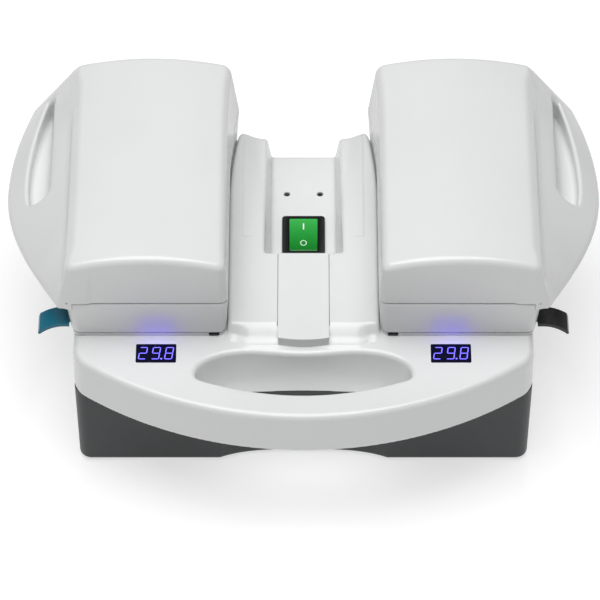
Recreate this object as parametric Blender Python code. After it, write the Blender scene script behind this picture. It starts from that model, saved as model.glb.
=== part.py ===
"""Two-chamber warm-air dryer for boot liners, insoles and gloves.

A dark tray carries a white cover with a bowed carrying handle. Two chambers stand on it, each with a lid
that hinges at the rear and is lifted by a wing with a finger pocket. Under each chamber a fan draws air
through a filter and pushes it past a heater, up a duct and out of a grille.

+X is to the right, -Y is the handle's side, +Z is up. The origin is on the table under the middle.
"""

import math

import bmesh
import bpy
from mathutils import Matrix, Vector

MM = 0.001  # every size below is in millimetres
GAP = 0.3  # kept between two pieces that rest on each other
WALL = 2.6  # thickness of the moulded shells
LEFT, RIGHT = -1, 1
SIDES = {"left": LEFT, "right": RIGHT}

# Plan of the whole object
HALF_WIDTH = 132.5
BACK = 109.5
BOW_RADIUS = 213.0
BOW_CENTRE_Y = 97.3

# Tray
FOOT_HEIGHT = 1.0
TRAY_BOTTOM = 1.3
TRAY_TOP = 61.5
TRAY_FRONT = -71.0
TRAY_DRAFT = 1.0
TRAY_FLOOR = TRAY_BOTTOM + WALL
RECESS_DEPTH = 6.4
RECESS_HALF = 49.0
BOSS_TOP = 24.0
HEAD_DEPTH = 5.4
BOARD_BOTTOM = 12.0
BOARD_POSTS = [(x, y) for x in (-36.0, 36.0) for y in (-34.0, 14.0)]

# Cover
COVER_BOTTOM = 61.9
BRIDGE_TOP = 90.0
DECK_TOP = 96.5
DECK_FRONT = -48.5
DECK_RAMP = 7.0
TROUGH_FLOOR = 73.0
TROUGH_HALF = 19.0
TROUGH_DRAFT = 4.0
TROUGH_FRONT = 7.7
TROUGH_FRONT_RUN = 14.0
HOLE_RADIUS = 158.7
HOLE_CENTRE_Y = 61.3
HOLE_END = (62.5, -81.3)
HOLE_SHOULDER = (31.0, -64.3)
HOLE_DRAFT = 2.5
STRIP_HALF = 14.6
STRIP_FRONT = -60.0

# Chambers
POD_FRONT = -52.7
POD_OUTER = 136.4
POD_INNER = 43.1
POD_CORNER = 5.0
TUB_TOP = 116.6
TUB_BOTTOM = 91.8
TUB_OUTER_DRAFT = 3.1
TUB_INNER_DRAFT = 1.5
PAD_WIDTH = (48.7, 55.8)
PAD_DEPTH = (-54.6, -49.3)
FLARE_START = 53.0
FLARE = 5.5
POD_X = 90.0
POD_Y = 28.0

# Lids
LID_BOTTOM = 117.2
LID_FRONT_EDGE = 146.0
LID_BACK_EDGE = 151.0
LID_CROWN = 7.0
LID_ROUND = 6.0
WING_DROP = 4.0
WING_RISE = 3.5
EAR_PEAK_Y = 39.5
EAR_PEAK = 37.0
EAR_FRONT = 4.0
EAR_BACK_DROP = 12.5
EAR_BOTTOM = 110.0
EAR_CURL = 1.6
POCKET_FLOOR = 112.4
POCKET_INNER = 148.0
POCKET_FRONT = 21.5
POCKET_BACK = 102.0
POCKET_LIP = 12.0
CATCH_WIDTH = (-46.0, -35.0)
CATCH_BOTTOM = TUB_TOP - 2.0

# Hinge of each lid
HINGE_Y = 112.8
HINGE_Z = 116.9
KNUCKLE_RADIUS = 2.9
PIN_RADIUS = 1.4
PIN_HOLE = 1.7
PIN_HALF = 44.0

# Latch of each lid
LATCH_X = 126.5
LATCH_Z = 99.0
LATCH_FRONT = -47.4
LATCH_WIDTH = 13.0
PLATE_SPAN = (-50.8, -37.2)
PLATE_REACH = 25.6
PLATE_DROOP = 5.5

# Air path under each chamber
FAN_HALF = 30.0
FAN_BOTTOM = 9.6
FAN_HEIGHT = 15.0
FAN_HOLE = 28.3
OUTLET_HALF = (28.0, 42.0)

# Fittings
DISPLAY_X = 84.6
DISPLAY_Y = -66.2
DISPLAY_SIZE = (23.2, 14.4)
SWITCH_Y = 42.3
SWITCH_SIZE = (25.4, 31.0)
SWITCH_BODY = (11.0, 14.0)
ROCKER_TILT = math.radians(4.7)
INLET_X = 70.0
INLET_Z = 32.0
INLET_BODY = (14.0, 10.0)
SCREW_X = 9.9
SCREW_Y = 78.7
FEET = [(x, y) for x in (-115.0, 115.0) for y in (-50.0, 94.0)]
CASE_SCREWS = [(x, y) for x in (-96.0, 96.0) for y in (-54.0, 96.0)]


def clear_scene():
    for obj in list(bpy.data.objects):
        bpy.data.objects.remove(obj)


def material(name, colour, roughness, metallic=0.0):
    made = bpy.data.materials.new(name)
    made.use_nodes = True
    shader = made.node_tree.nodes["Principled BSDF"]
    shader.inputs["Base Color"].default_value = (*colour, 1.0)
    shader.inputs["Roughness"].default_value = roughness
    shader.inputs["Metallic"].default_value = metallic
    return made


def make_materials():
    return {
        "white": material("white_shell", (0.86, 0.87, 0.87), 0.25),
        "grey": material("dark_tray", (0.055, 0.058, 0.06), 0.45),
        "black": material("black_plastic", (0.012, 0.012, 0.013), 0.35),
        "blue": material("blue_latch", (0.0, 0.2, 0.36), 0.3),
        "green": material("green_rocker", (0.02, 0.4, 0.05), 0.2),
        "display": material("display_window", (0.004, 0.004, 0.03), 0.1),
        "rubber": material("rubber", (0.03, 0.03, 0.03), 0.8),
        "steel": material("steel", (0.55, 0.56, 0.58), 0.3, 1.0),
        "aluminium": material("aluminium", (0.7, 0.7, 0.72), 0.4, 1.0),
        "board": material("circuit_board", (0.02, 0.16, 0.07), 0.5),
        "foam": material("filter_foam", (0.05, 0.05, 0.05), 0.95),
    }


# Outlines and points


def arc(cx, cy, radius, start, end, steps):
    """Points on a circle, angles in radians."""
    angles = [start + (end - start) * i / steps for i in range(steps + 1)]
    return [(cx + radius * math.cos(a), cy + radius * math.sin(a)) for a in angles]


def rounded(corners, steps=4):
    """A closed outline through (x, y, radius) corners, each rounded with an arc."""
    points = []
    count = len(corners)
    for i, (x, y, radius) in enumerate(corners):
        here = Vector((x, y))
        if radius == 0:
            points.append((x, y))
            continue
        before = (Vector(corners[i - 1][:2]) - here).normalized()
        after = (Vector(corners[(i + 1) % count][:2]) - here).normalized()
        half = before.angle(after) / 2
        start = here + before * (radius / math.tan(half))
        centre = here + (before + after).normalized() * (radius / math.sin(half))
        arm = start - centre
        turn = (math.pi - 2 * half) * (1 if before.x * after.y - before.y * after.x < 0 else -1)
        for k in range(steps + 1):
            spun = Matrix.Rotation(turn * k / steps, 2) @ arm
            points.append(tuple(centre + spun))
    return points


def rectangle(x0, x1, y0, y1, radius=0.0, steps=4):
    corners = [(x0, y0, radius), (x1, y0, radius), (x1, y1, radius), (x0, y1, radius)]
    return rounded(corners, steps)


def inset(outline, distance):
    """The outline moved inwards; a negative distance moves it outwards. It runs anticlockwise."""
    moved = []
    count = len(outline)
    for i in range(count):
        here = Vector(outline[i])
        before = (here - Vector(outline[i - 1])).normalized()
        after = (Vector(outline[(i + 1) % count]) - here).normalized()
        normal = Vector((-before.y - after.y, before.x + after.x)).normalized()
        stretch = max(0.4, normal.dot(Vector((-before.y, before.x))))
        moved.append(tuple(here + normal * (distance / stretch)))
    return moved


def level(outline, z):
    return [(x, y, z) for x, y in outline]


def rounding(distance, radius):
    """How far an edge rounded with this radius has dropped, this far from the end face."""
    left = radius - min(radius, max(0.0, distance))
    return radius - math.sqrt(radius**2 - left**2)


def smooth(t):
    t = min(1.0, max(0.0, t))
    return t * t * (3 - 2 * t)


# Solids


def solid(name, points, faces, finish=None):
    mesh = bpy.data.meshes.new(name)
    mesh.from_pydata([Vector(p) * MM for p in points], [], faces)
    shape = bmesh.new()
    shape.from_mesh(mesh)
    bmesh.ops.recalc_face_normals(shape, faces=shape.faces)
    shape.to_mesh(mesh)
    shape.free()
    obj = bpy.data.objects.new(name, mesh)
    bpy.context.scene.collection.objects.link(obj)
    if finish:
        mesh.materials.append(finish)
    return obj


def loft(name, rings, finish=None):
    """A closed solid through rings of equal length, capped at both ends."""
    count = len(rings[0])
    points = [p for ring in rings for p in ring]
    faces = []
    for k in range(len(rings) - 1):
        for i in range(count):
            a, b = k * count + i, k * count + (i + 1) % count
            faces.append((a, b, b + count, a + count))
    faces.append(tuple(range(count)))
    faces.append(tuple((len(rings) - 1) * count + i for i in range(count)))
    return solid(name, points, faces, finish)


def prism(name, outline, low, high, finish=None):
    return loft(name, [level(outline, low), level(outline, high)], finish)


def block(name, x, y, z, finish=None):
    """A box between the two values given for each axis."""
    return prism(name, rectangle(*x, *y), *z, finish)


def blocks(name, boxes):
    """One cutter made of many boxes that don't meet."""
    points, faces = [], []
    for x, y, z in boxes:
        base = len(points)
        points += level(rectangle(*x, *y), z[0]) + level(rectangle(*x, *y), z[1])
        faces += [tuple(base + i for i in ring) for ring in ((3, 2, 1, 0), (4, 5, 6, 7))]
        faces += [tuple(base + i for i in (k, (k + 1) % 4, (k + 1) % 4 + 4, k + 4)) for k in range(4)]
    return solid(name, points, faces)


def rod(name, start, end, radius, finish=None, sides=20):
    """A round bar between two points."""
    start, end = Vector(start), Vector(end)
    turn = (end - start).to_track_quat("Z", "Y")
    rings = []
    for centre in (start, end):
        circle = arc(0, 0, radius, 0, 2 * math.pi, sides)[:-1]
        rings.append([tuple(centre + turn @ Vector((x, y, 0))) for x, y in circle])
    return loft(name, rings, finish)


def combine(target, tool, operation):
    """Applies a Boolean of the tool to the target, and removes the tool."""
    step = target.modifiers.new(operation.lower(), "BOOLEAN")
    step.operation = operation
    step.solver = "EXACT"
    step.object = tool
    graph = bpy.context.evaluated_depsgraph_get()
    result = bpy.data.meshes.new_from_object(target.evaluated_get(graph))
    target.modifiers.clear()
    finishes = list(target.data.materials)
    target.data = result
    result.materials.clear()
    for finish in finishes:
        result.materials.append(finish)
    bpy.data.objects.remove(tool)
    return target


def cut(target, *tools):
    for tool in tools:
        combine(target, tool, "DIFFERENCE")
    return target


def join(target, *tools):
    for tool in tools:
        combine(target, tool, "UNION")
    return target


def set_origin(obj, point):
    """Puts the object's origin on its joint, without moving its shape."""
    place = Vector(point) * MM
    obj.data.transform(Matrix.Translation(-place))
    obj.location = place
    return obj


def shade(obj):
    obj.data.shade_smooth()
    obj.data.set_sharp_from_angle(angle=math.radians(35))


def flip(ring, side):
    return [(side * x, y, z) for x, y, z in ring]


def pair(side, low, high):
    """A range of x mirrored to the given side."""
    return tuple(sorted((side * low, side * high)))


# Tray


def tray_outline(z, offset=0.0):
    lift = (z - TRAY_BOTTOM) / (TRAY_TOP - TRAY_BOTTOM)
    half = HALF_WIDTH - TRAY_DRAFT * (1 - lift)
    front = TRAY_FRONT + TRAY_DRAFT * (1 - lift)
    recess = []
    for i in range(-7, 8):
        x = RECESS_HALF * i / 7
        recess.append((x, front + RECESS_DEPTH * (1 - abs(x / RECESS_HALF) ** 3.3), 0))
    corners = [(-half, front, 7), *recess, (half, front, 7), (half, BACK, 7), (-half, BACK, 7)]
    return inset(rounded(corners), offset)


def make_tray(finishes):
    outer_levels = [(TRAY_BOTTOM, 2.5), (TRAY_BOTTOM + 0.9, 0.8), (TRAY_BOTTOM + 3, 0), (TRAY_TOP, 0)]
    tray = loft("base_tray", [level(tray_outline(z, d), z) for z, d in outer_levels], finishes["grey"])
    inner = [level(tray_outline(z, WALL), z) for z in (TRAY_FLOOR, TRAY_TOP + 1)]
    cut(tray, loft("hollow", inner))
    for x, y in CASE_SCREWS:
        join(tray, rod("boss", (x, y, TRAY_BOTTOM + 1), (x, y, BOSS_TOP), 6))
        cut(tray, rod("head", (x, y, 0), (x, y, HEAD_DEPTH), 3.5))
        cut(tray, rod("bore", (x, y, HEAD_DEPTH - 0.4), (x, y, BOSS_TOP + 1), 1.9))
    for x, y in BOARD_POSTS:
        join(tray, rod("post", (x, y, TRAY_BOTTOM + 1), (x, y, BOARD_BOTTOM - GAP), 3, sides=12))
    through = (TRAY_BOTTOM - 1, TRAY_FLOOR + 1)
    slots = []
    for side in SIDES.values():
        for k in range(-3, 4):
            low = POD_Y + 7.5 * k - 2
            slots.append(((side * POD_X - 24, side * POD_X + 24), (low, low + 4), through))
    rear_wall = (BACK - WALL - 1, BACK + 1)
    for k in range(9):
        low = -104 + 8.0 * k
        slots.append(((low, low + 4), rear_wall, (18, 46)))
    across, up = INLET_BODY[0] + GAP, INLET_BODY[1] + GAP
    slots.append(((INLET_X - across, INLET_X + across), rear_wall, (INLET_Z - up, INLET_Z + up)))
    return cut(tray, blocks("slots", slots))


# Cover


def bow(x, offset=0.0):
    """The front edge of the cover, an arc from side to side."""
    return BOW_CENTRE_Y - math.sqrt((BOW_RADIUS - offset) ** 2 - x**2)


def cover_outline(offset=0.0):
    half = HALF_WIDTH - offset
    front = [(x, bow(x, offset), 0) for x in (half * i / 12 for i in range(-11, 12))]
    radius = max(1.0, 6 - offset)
    ends = [(half, bow(half, offset), radius), (half, BACK - offset, radius)]
    mirrored = [(-x, y, r) for x, y, r in reversed(ends)]
    return rounded([*front, *ends, *mirrored])


def handle_hole():
    """The hand hole: its front edge is an arc, its back edge has a shallow swell in the middle."""
    front = []
    for i in range(-8, 9):
        x = 56 * i / 8
        front.append((x, HOLE_CENTRE_Y - math.sqrt(HOLE_RADIUS**2 - x**2)))
    (end_x, end_y), (shoulder_x, shoulder_y) = HOLE_END, HOLE_SHOULDER
    tip = [(58.8, -86.1), (61.2, -84.6), (62.3, -82.8)]
    quarter = arc(0, 0, 1, 0, math.pi / 2, 6)
    flank = [(shoulder_x + (end_x - shoulder_x) * x, end_y + (shoulder_y - end_y) * y) for x, y in quarter]
    swell = [(15.5, shoulder_y - 1.2)]
    right = tip + flank + swell
    left = [(-x, y) for x, y in reversed(right)]
    return front + right + [(0, shoulder_y - 2.4)] + left


def pod_inner(z, y):
    """The x of a chamber's inner wall at this height and depth."""
    low = TUB_INNER_DRAFT * (TUB_TOP - z) / (TUB_TOP - TUB_BOTTOM)
    return POD_INNER + low - flare(y)


def flare(y):
    return FLARE * max(0.0, (y - FLARE_START) / (BACK - FLARE_START)) ** 2


def deck_rings(offset):
    """Sections of the raised deck between the chambers, from the ramp at its front to its round back."""
    back = BACK - offset
    front = DECK_FRONT - DECK_RAMP
    depths = [front, front + 2, front + 5, DECK_FRONT, 0, FLARE_START, 72, 90]
    depths += [back - 5, back - 2.4, back - 0.7, back]
    rings = []
    for y in depths:
        ramp = smooth((y - front) / DECK_RAMP)
        top = BRIDGE_TOP + (DECK_TOP - BRIDGE_TOP) * ramp - rounding(back - y, 5) - offset
        half = pod_inner(DECK_TOP, y) - 0.8 - offset
        rings.append([(-half, y, 75), (half, y, 75), (half, y, top), (-half, y, top)])
    return rings


def trough_rings(offset):
    """Sections of the recess for the switch; a positive offset gives the outside of its pan."""
    floor = TROUGH_FLOOR - offset
    top = DECK_TOP - 1 if offset else DECK_TOP + 1
    half = TROUGH_HALF + offset
    spread = TROUGH_DRAFT * (top - floor) / (DECK_TOP - TROUGH_FLOOR)
    run = TROUGH_FRONT_RUN * (top - floor) / (DECK_TOP - TROUGH_FLOOR)
    back = BACK if offset else BACK + 1
    start = TROUGH_FRONT + TROUGH_FRONT_RUN - offset
    lower = rectangle(-half, half, start, back)
    upper = rectangle(-half - spread, half + spread, start - run, back)
    return [level(lower, floor), level(upper, top)]


def make_cover(finishes):
    edge = [(BRIDGE_TOP - drop, d) for drop, d in ((3.5, 0.0), (2.0, 0.5), (0.7, 1.6), (0.0, 3.5))]
    levels = [(COVER_BOTTOM, 0.0), *edge]
    cover = loft("top_cover", [level(cover_outline(d), z) for z, d in levels], finishes["white"])
    join(cover, loft("deck", deck_rings(0)))
    hollow = prism("hollow", cover_outline(WALL), COVER_BOTTOM - 1, BRIDGE_TOP - WALL)
    join(hollow, loft("deck_hollow", deck_rings(WALL)))
    ends = (COVER_BOTTOM - 2, HOLE_DRAFT), (BRIDGE_TOP + 1, 0)
    skirt = [level(inset(handle_hole(), d - WALL), z) for z, d in ends]
    cut(hollow, loft("pan", trough_rings(WALL)), loft("skirt", skirt))
    cut(cover, hollow, loft("trough", trough_rings(0)))
    cut(cover, loft("hand_hole", [level(inset(handle_hole(), d), z) for z, d in ends]))
    across, along = OUTLET_HALF[0] + 3, OUTLET_HALF[1] + 3
    width, depth = DISPLAY_SIZE[0] / 2 + GAP, DISPLAY_SIZE[1] / 2 + GAP
    bridge, floor = (BRIDGE_TOP - WALL - 2, BRIDGE_TOP + 2), (TROUGH_FLOOR - WALL - 1, TROUGH_FLOOR + 2)
    windows = []
    for side in SIDES.values():
        x = side * POD_X
        windows.append(((x - across, x + across), (POD_Y - along, POD_Y + along), bridge))
        x = side * DISPLAY_X
        windows.append(((x - width, x + width), (DISPLAY_Y - depth, DISPLAY_Y + depth), bridge))
    across, along = SWITCH_BODY[0] + GAP, SWITCH_BODY[1] + GAP
    windows.append(((-across, across), (SWITCH_Y - along, SWITCH_Y + along), floor))
    reach = (DECK_FRONT - 20, TROUGH_FRONT - 1.5)
    windows.append(((-STRIP_HALF - GAP, STRIP_HALF + GAP), reach, (DECK_TOP - 1.2, DECK_TOP + 1)))
    cut(cover, blocks("windows", windows))
    for side in SIDES.values():
        x = side * SCREW_X
        cut(cover, rod("screw_hole", (x, SCREW_Y, floor[0]), (x, SCREW_Y, floor[1]), 1.8, sides=16))
    return cover


def make_centre_cover(finishes):
    """The strip on the deck's middle line, with a face that drops to the bridge in front of the ramp."""
    top, nose_back, bulge = DECK_TOP + 0.2, DECK_FRONT - DECK_RAMP - 0.7, 1.6
    front = []
    for i in range(-5, 6):
        front.append((STRIP_HALF * i / 5, STRIP_FRONT - bulge * (1 - (i / 5) ** 2)))
    outline = [*front, (STRIP_HALF, nose_back), (-STRIP_HALF, nose_back)]
    nose = prism("nose", outline, BRIDGE_TOP + GAP, top)
    depth = (nose_back - 1.3, TROUGH_FRONT - 1.8)
    plate = block("centre_cover", (-STRIP_HALF, STRIP_HALF), depth, (DECK_TOP - 0.9, top), finishes["white"])
    return join(plate, nose)


# Chambers


def pod_outline(z, offset=0.0, steps=4):
    """Plan of a chamber on the right, at this height."""
    low = (TUB_TOP - z) / (TUB_TOP - TUB_BOTTOM)
    outer = POD_OUTER - TUB_OUTER_DRAFT * low - offset
    inner = POD_INNER + TUB_INNER_DRAFT * low + offset
    front, back = POD_FRONT + offset, BACK - offset
    radius = max(1.5, POD_CORNER - offset)
    side = [(inner, y, 0) for y in (97, 84, 70, FLARE_START)]
    right = [(outer, front, radius), (outer, back, radius)]
    points = rounded([(inner, front, radius), *right, (inner, back, radius), *side], steps)
    return [(x - flare(y) * (outer - x) / (outer - inner), y) for x, y in points]


def hinge_rod(name, left, right, radius, finish=None):
    """A round bar on the line of the lids' hinges."""
    return rod(name, (left, HINGE_Y, HINGE_Z), (right, HINGE_Y, HINGE_Z), radius, finish)


def make_tub(name, side, finishes):
    shape = [level(pod_outline(z), z) for z in (TUB_BOTTOM, TUB_TOP)]
    tub = loft(f"pod_tub_{name}", [flip(r, side) for r in shape], finishes["white"])
    plinth = [flip(level(pod_outline(TUB_BOTTOM, 4), z), side) for z in (BRIDGE_TOP + GAP, TUB_BOTTOM + 1)]
    join(tub, loft("plinth", plinth))
    floor = TUB_BOTTOM + WALL
    hollow = [flip(level(pod_outline(z, WALL), z), side) for z in (floor, TUB_TOP + 1)]
    cut(tub, loft("hollow", hollow))
    centre = side * POD_X
    across, along = OUTLET_HALF
    for margin, height in ((0, (BRIDGE_TOP - 1, floor + 1)), (3, (BRIDGE_TOP - 1, TUB_BOTTOM - GAP))):
        reach_x, reach_y = across + margin, along + margin
        opening = (centre - reach_x, centre + reach_x), (POD_Y - reach_y, POD_Y + reach_y)
        cut(tub, block("opening", *opening, height))
    deck_side = pair(side, 30, pod_inner(DECK_TOP, BACK) + 0.4)
    cut(tub, block("deck_side", deck_side, (60, BACK + 1), (BRIDGE_TOP - 1, TUB_BOTTOM)))
    for end in (-1, 1):
        reach = sorted((centre + end * 30.5, centre + end * 42.5))
        web = block("web", reach, (BACK - 1, HINGE_Y), (TUB_TOP - 7, TUB_TOP - 0.5))
        join(tub, join(hinge_rod("knuckle", *reach, KNUCKLE_RADIUS), web))
    cut(tub, hinge_rod("pin_hole", centre - 60, centre + 60, PIN_HOLE))
    latch_back = LATCH_FRONT + LATCH_WIDTH
    rib_depth, rib_height = (latch_back + GAP, latch_back + 3), (floor - 1, LATCH_Z + 5)
    rib = block("rib", pair(side, LATCH_X - 5, LATCH_X + 5.5), rib_depth, rib_height)
    depth, height = (LATCH_FRONT - 0.4, latch_back + 0.3), (LATCH_Z - 3.6, LATCH_Z + 3.6)
    window = block("window", pair(side, 129, 140), depth, height)
    x = side * LATCH_X
    bearing = rod("bearing", (x, POD_FRONT + 1, LATCH_Z), (x, latch_back + 5, LATCH_Z), 1.65)
    join(tub, rib)
    return cut(tub, window, bearing)


def make_pad(name, side, finishes):
    """The rubber pad between the cover and the front inner corner of a chamber."""
    height = (BRIDGE_TOP + GAP, TUB_BOTTOM - 0.4)
    return block(f"chamber_pad_{name}", pair(side, *PAD_WIDTH), PAD_DEPTH, height, finishes["rubber"])


def ear(y):
    """How far the lid's wing stands out of its side wall."""
    if y < EAR_PEAK_Y:
        part = (y - POD_FRONT) / (EAR_PEAK_Y - POD_FRONT)
        return EAR_FRONT + (EAR_PEAK - EAR_FRONT) * math.sin(math.pi / 2 * part)
    return EAR_PEAK - EAR_BACK_DROP * ((y - EAR_PEAK_Y) / (BACK - EAR_PEAK_Y)) ** 2


def lid_depths():
    front = [POD_FRONT + d for d in (0, 0.5, 2, 4.2, 8)]
    middle = [-36, -24, -10, 4, 20, EAR_PEAK_Y, 56, 72, 88, 99]
    back = [BACK - d for d in (4.2, 2, 0.5, 0)]
    return front + middle + back


def lid_edge(y):
    """Height of the lid's top edge, which climbs towards the back."""
    return LID_FRONT_EDGE + (LID_BACK_EDGE - LID_FRONT_EDGE) * (y - POD_FRONT) / (BACK - POD_FRONT)


def lid_top(y, inner, outer, top, radius, crown):
    """The lid's back across its width: two rounded edges with a crown between them."""
    quarter = [math.pi / 2 * k / 3 for k in range(4)]
    rise = [(inner + radius * (1 - math.cos(a)), radius * math.sin(a)) for a in quarter]
    fall = [(outer - radius * (1 - math.cos(a)), radius * math.sin(a)) for a in reversed(quarter)]
    middle = [(inner + (outer - inner) * f, radius) for f in (0.22, 0.36, 0.5, 0.64, 0.78)]
    points = []
    for x, z in rise + middle + fall:
        across = 2 * (x - inner) / (outer - inner) - 1
        points.append((x, y, top - radius + z + crown * (1 - across**2)))
    return points


def lid_section(y):
    distance = min(y - POD_FRONT, BACK - y)
    side_in = rounding(distance, POD_CORNER)
    top = lid_edge(y) - rounding(distance, LID_ROUND)
    inner = POD_INNER - flare(y) + side_in
    outer = POD_OUTER - side_in
    rim = outer + ear(y)
    skirt = outer + 1.0 if y < 0 else min(POD_OUTER + 1.0, rim - 3.0)
    hang = EAR_BOTTOM + EAR_CURL * (1 - smooth((y - POD_FRONT) / 60))
    high = top - LID_ROUND - WING_DROP + WING_RISE * smooth((y - 60) / 45)
    wing = []
    for f in (0.02, 0.35, 0.7):
        wing.append((outer + ear(y) * f, y, high + (hang + 4 - high) * f))
    wing += [(rim, y, hang + 3), (rim - 0.6, y, hang + 0.9), (rim - 2.4, y, hang)]
    wing += [(skirt, y, hang), (skirt, y, LID_BOTTOM)]
    return [(inner, y, LID_BOTTOM), *lid_top(y, inner + 1.3, outer - 0.8, top, LID_ROUND, LID_CROWN), *wing]


def lid_hollow_section(y, low):
    distance = min(y - POD_FRONT, BACK - y) - WALL
    side_in = rounding(distance, POD_CORNER - WALL) + WALL
    top = lid_edge(y) - rounding(distance, 4) - WALL
    inner = POD_INNER - flare(y) + side_in
    outer = POD_OUTER - side_in
    return [(inner, y, low), *lid_top(y, inner + 1.3, outer - 0.8, top, 4, LID_CROWN), (outer, y, low)]


def ear_hollow_section(y):
    """Hollow of the wing between the side wall and the pocket, open towards the chamber."""
    slope = (LID_FRONT_EDGE - 8 - EAR_BOTTOM) / ear(y)
    reach = min(POCKET_INNER - 2.4, POD_OUTER + 0.75 * ear(y) - 4)
    inside, low, top = POD_OUTER - 6.4, LID_BOTTOM + WALL, LID_FRONT_EDGE - 14
    far = [(reach, y, low), (reach, y, top - slope * (reach - POD_OUTER))]
    return [(inside, y, low), *far, (inside, y, top)]


def pocket_outline():
    """Plan of the finger pocket: straight on the inside, parallel to the wing's rim on the outside."""
    outer = []
    for i in range(9):
        y = POCKET_FRONT + 5 + (POCKET_BACK - POCKET_FRONT - 10) * i / 8
        outer.append((POD_OUTER + ear(y) - POCKET_LIP, y, 0))
    ends = [(POCKET_INNER, POCKET_BACK, 1.5), (POCKET_INNER, POCKET_FRONT, 7)]
    far = [(POD_OUTER + ear(POCKET_BACK) - POCKET_LIP, POCKET_BACK, 1.5)]
    near = [(POD_OUTER + ear(POCKET_FRONT) - POCKET_LIP, POCKET_FRONT, 4)]
    return rounded([*near, *outer, *far, *ends], 3)


def make_lid(name, side, finishes):
    lid = loft(f"lid_{name}", [flip(lid_section(y), side) for y in lid_depths()], finishes["white"])
    front, back, ends = POD_FRONT + WALL, BACK - WALL, 10
    between = [y for y in lid_depths() if front + ends < y < back - ends]
    depths = [front, front + 1.6, front + 5.1, *between, back - 4.9, back - 1.9, back]
    hollow = [flip(lid_hollow_section(y, LID_BOTTOM - 1), side) for y in depths]
    cut(lid, loft("hollow", hollow))
    wing = [flip(ear_hollow_section(y), side) for y in (-14, 4, 20, EAR_PEAK_Y, 60, 80, 98)]
    pocket = flip(level(pocket_outline(), POCKET_FLOOR), side), flip(level(pocket_outline(), 170), side)
    cut(lid, loft("wing_hollow", wing), loft("pocket", pocket))
    centre = side * POD_X
    for end in (-1, 1):
        reach = sorted((centre + end * 18, centre + end * 30))
        web = block("web", reach, (BACK - 1, HINGE_Y), (LID_BOTTOM + 0.2, LID_BOTTOM + 2.5))
        join(lid, join(hinge_rod("knuckle", *reach, KNUCKLE_RADIUS), web))
    cut(lid, hinge_rod("pin_hole", centre - 60, centre + 60, PIN_HOLE))
    catch_face = LATCH_X - 4.2
    catch = block("catch", pair(side, catch_face - 2.5, catch_face), CATCH_WIDTH, (CATCH_BOTTOM, 149))
    ridge_depth = pair(side, catch_face - 1.3, catch_face + 0.5)
    ridge = block("ridge", ridge_depth, CATCH_WIDTH, (CATCH_BOTTOM, TUB_TOP))
    join(lid, join(catch, ridge))
    return set_origin(lid, (centre, HINGE_Y, HINGE_Z))


def make_gasket(name, side, finishes):
    """The lip seal inside the lid's rim, which drops into the tub."""
    low, high, outside, thickness = TUB_TOP - 2.6, TUB_TOP + 3.6, WALL + 2 * GAP, 1.6
    outer = [(side * x, y) for x, y in pod_outline(TUB_TOP, outside)]
    inner = [(side * x, y) for x, y in pod_outline(TUB_TOP, outside + thickness)]
    ring = prism(f"lid_gasket_{name}", outer, low, high, finishes["rubber"])
    return cut(ring, prism("inside", inner, low - 1, high + 1))


def make_hinge_pin(name, side, finishes):
    centre = side * POD_X
    return hinge_rod(f"hinge_pin_{name}", centre - PIN_HALF, centre + PIN_HALF, PIN_RADIUS, finishes["steel"])


# Latches


def latch_profile():
    """The lever's outline in (outwards, up) from its pin: the plate's root, a hub and an arm with a nose."""
    under = [(9.0, -3.2), (4.0, -1.8)]
    hub = arc(0, 0, 3.2, math.radians(-50), math.radians(-250), 8)
    arm = [(-1.2, 3.6), (-1.2, 17.0), (-3.4, 17.6), (-3.4, 19.4), (-1.6, 20.6), (1.2, 20.6), (1.2, 4.0)]
    return [(4.0, 1.0), (9.0, -0.8), *under, *hub, *arm]


def finger_plate_profile():
    """The arched plate that the finger presses, level at its root and turned down at its tip."""
    top, under, start, level_part = [], [], 8.2, 0.2
    for k in range(8):
        f = k / 7
        drop = PLATE_DROOP * max(0.0, (f - level_part) / (1 - level_part)) ** 2
        u = start + (PLATE_REACH - start) * f
        top.append((u, -0.8 - drop))
        under.append((u - 1.4 * f, -3.0 - drop + 0.3 * f))
    tip = -0.8 - PLATE_DROOP
    return [*top, (PLATE_REACH + 0.9, tip - 2.6), (PLATE_REACH - 0.3, tip - 3.0), *reversed(under)]


def make_latch(name, side, finish):
    back = LATCH_FRONT + LATCH_WIDTH
    solids = []
    for profile, span in ((latch_profile(), (LATCH_FRONT, back)), (finger_plate_profile(), PLATE_SPAN)):
        sections = [[(side * (LATCH_X + u), y, LATCH_Z + v) for u, v in profile] for y in span]
        solids.append(loft("lever", sections, finish))
    lever = join(*solids)
    lever.name = f"latch_lever_{name}"
    x = side * LATCH_X
    notch = block("notch", (x - 3.8, x + 3.8), (back - 6.6, back + 1), (LATCH_Z - 4.5, LATCH_Z + 4.2))
    cut(lever, rod("bore", (x, LATCH_FRONT - 1, LATCH_Z), (x, back + 1, LATCH_Z), 1.65), notch)
    return set_origin(lever, (x, LATCH_FRONT + LATCH_WIDTH / 2, LATCH_Z))


def make_latch_pin(name, side, finishes):
    x, front, back = side * LATCH_X, POD_FRONT + 1.4, LATCH_FRONT + LATCH_WIDTH + 3
    return rod(f"latch_pin_{name}", (x, front, LATCH_Z), (x, back, LATCH_Z), 1.5, finishes["steel"], 16)


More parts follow.
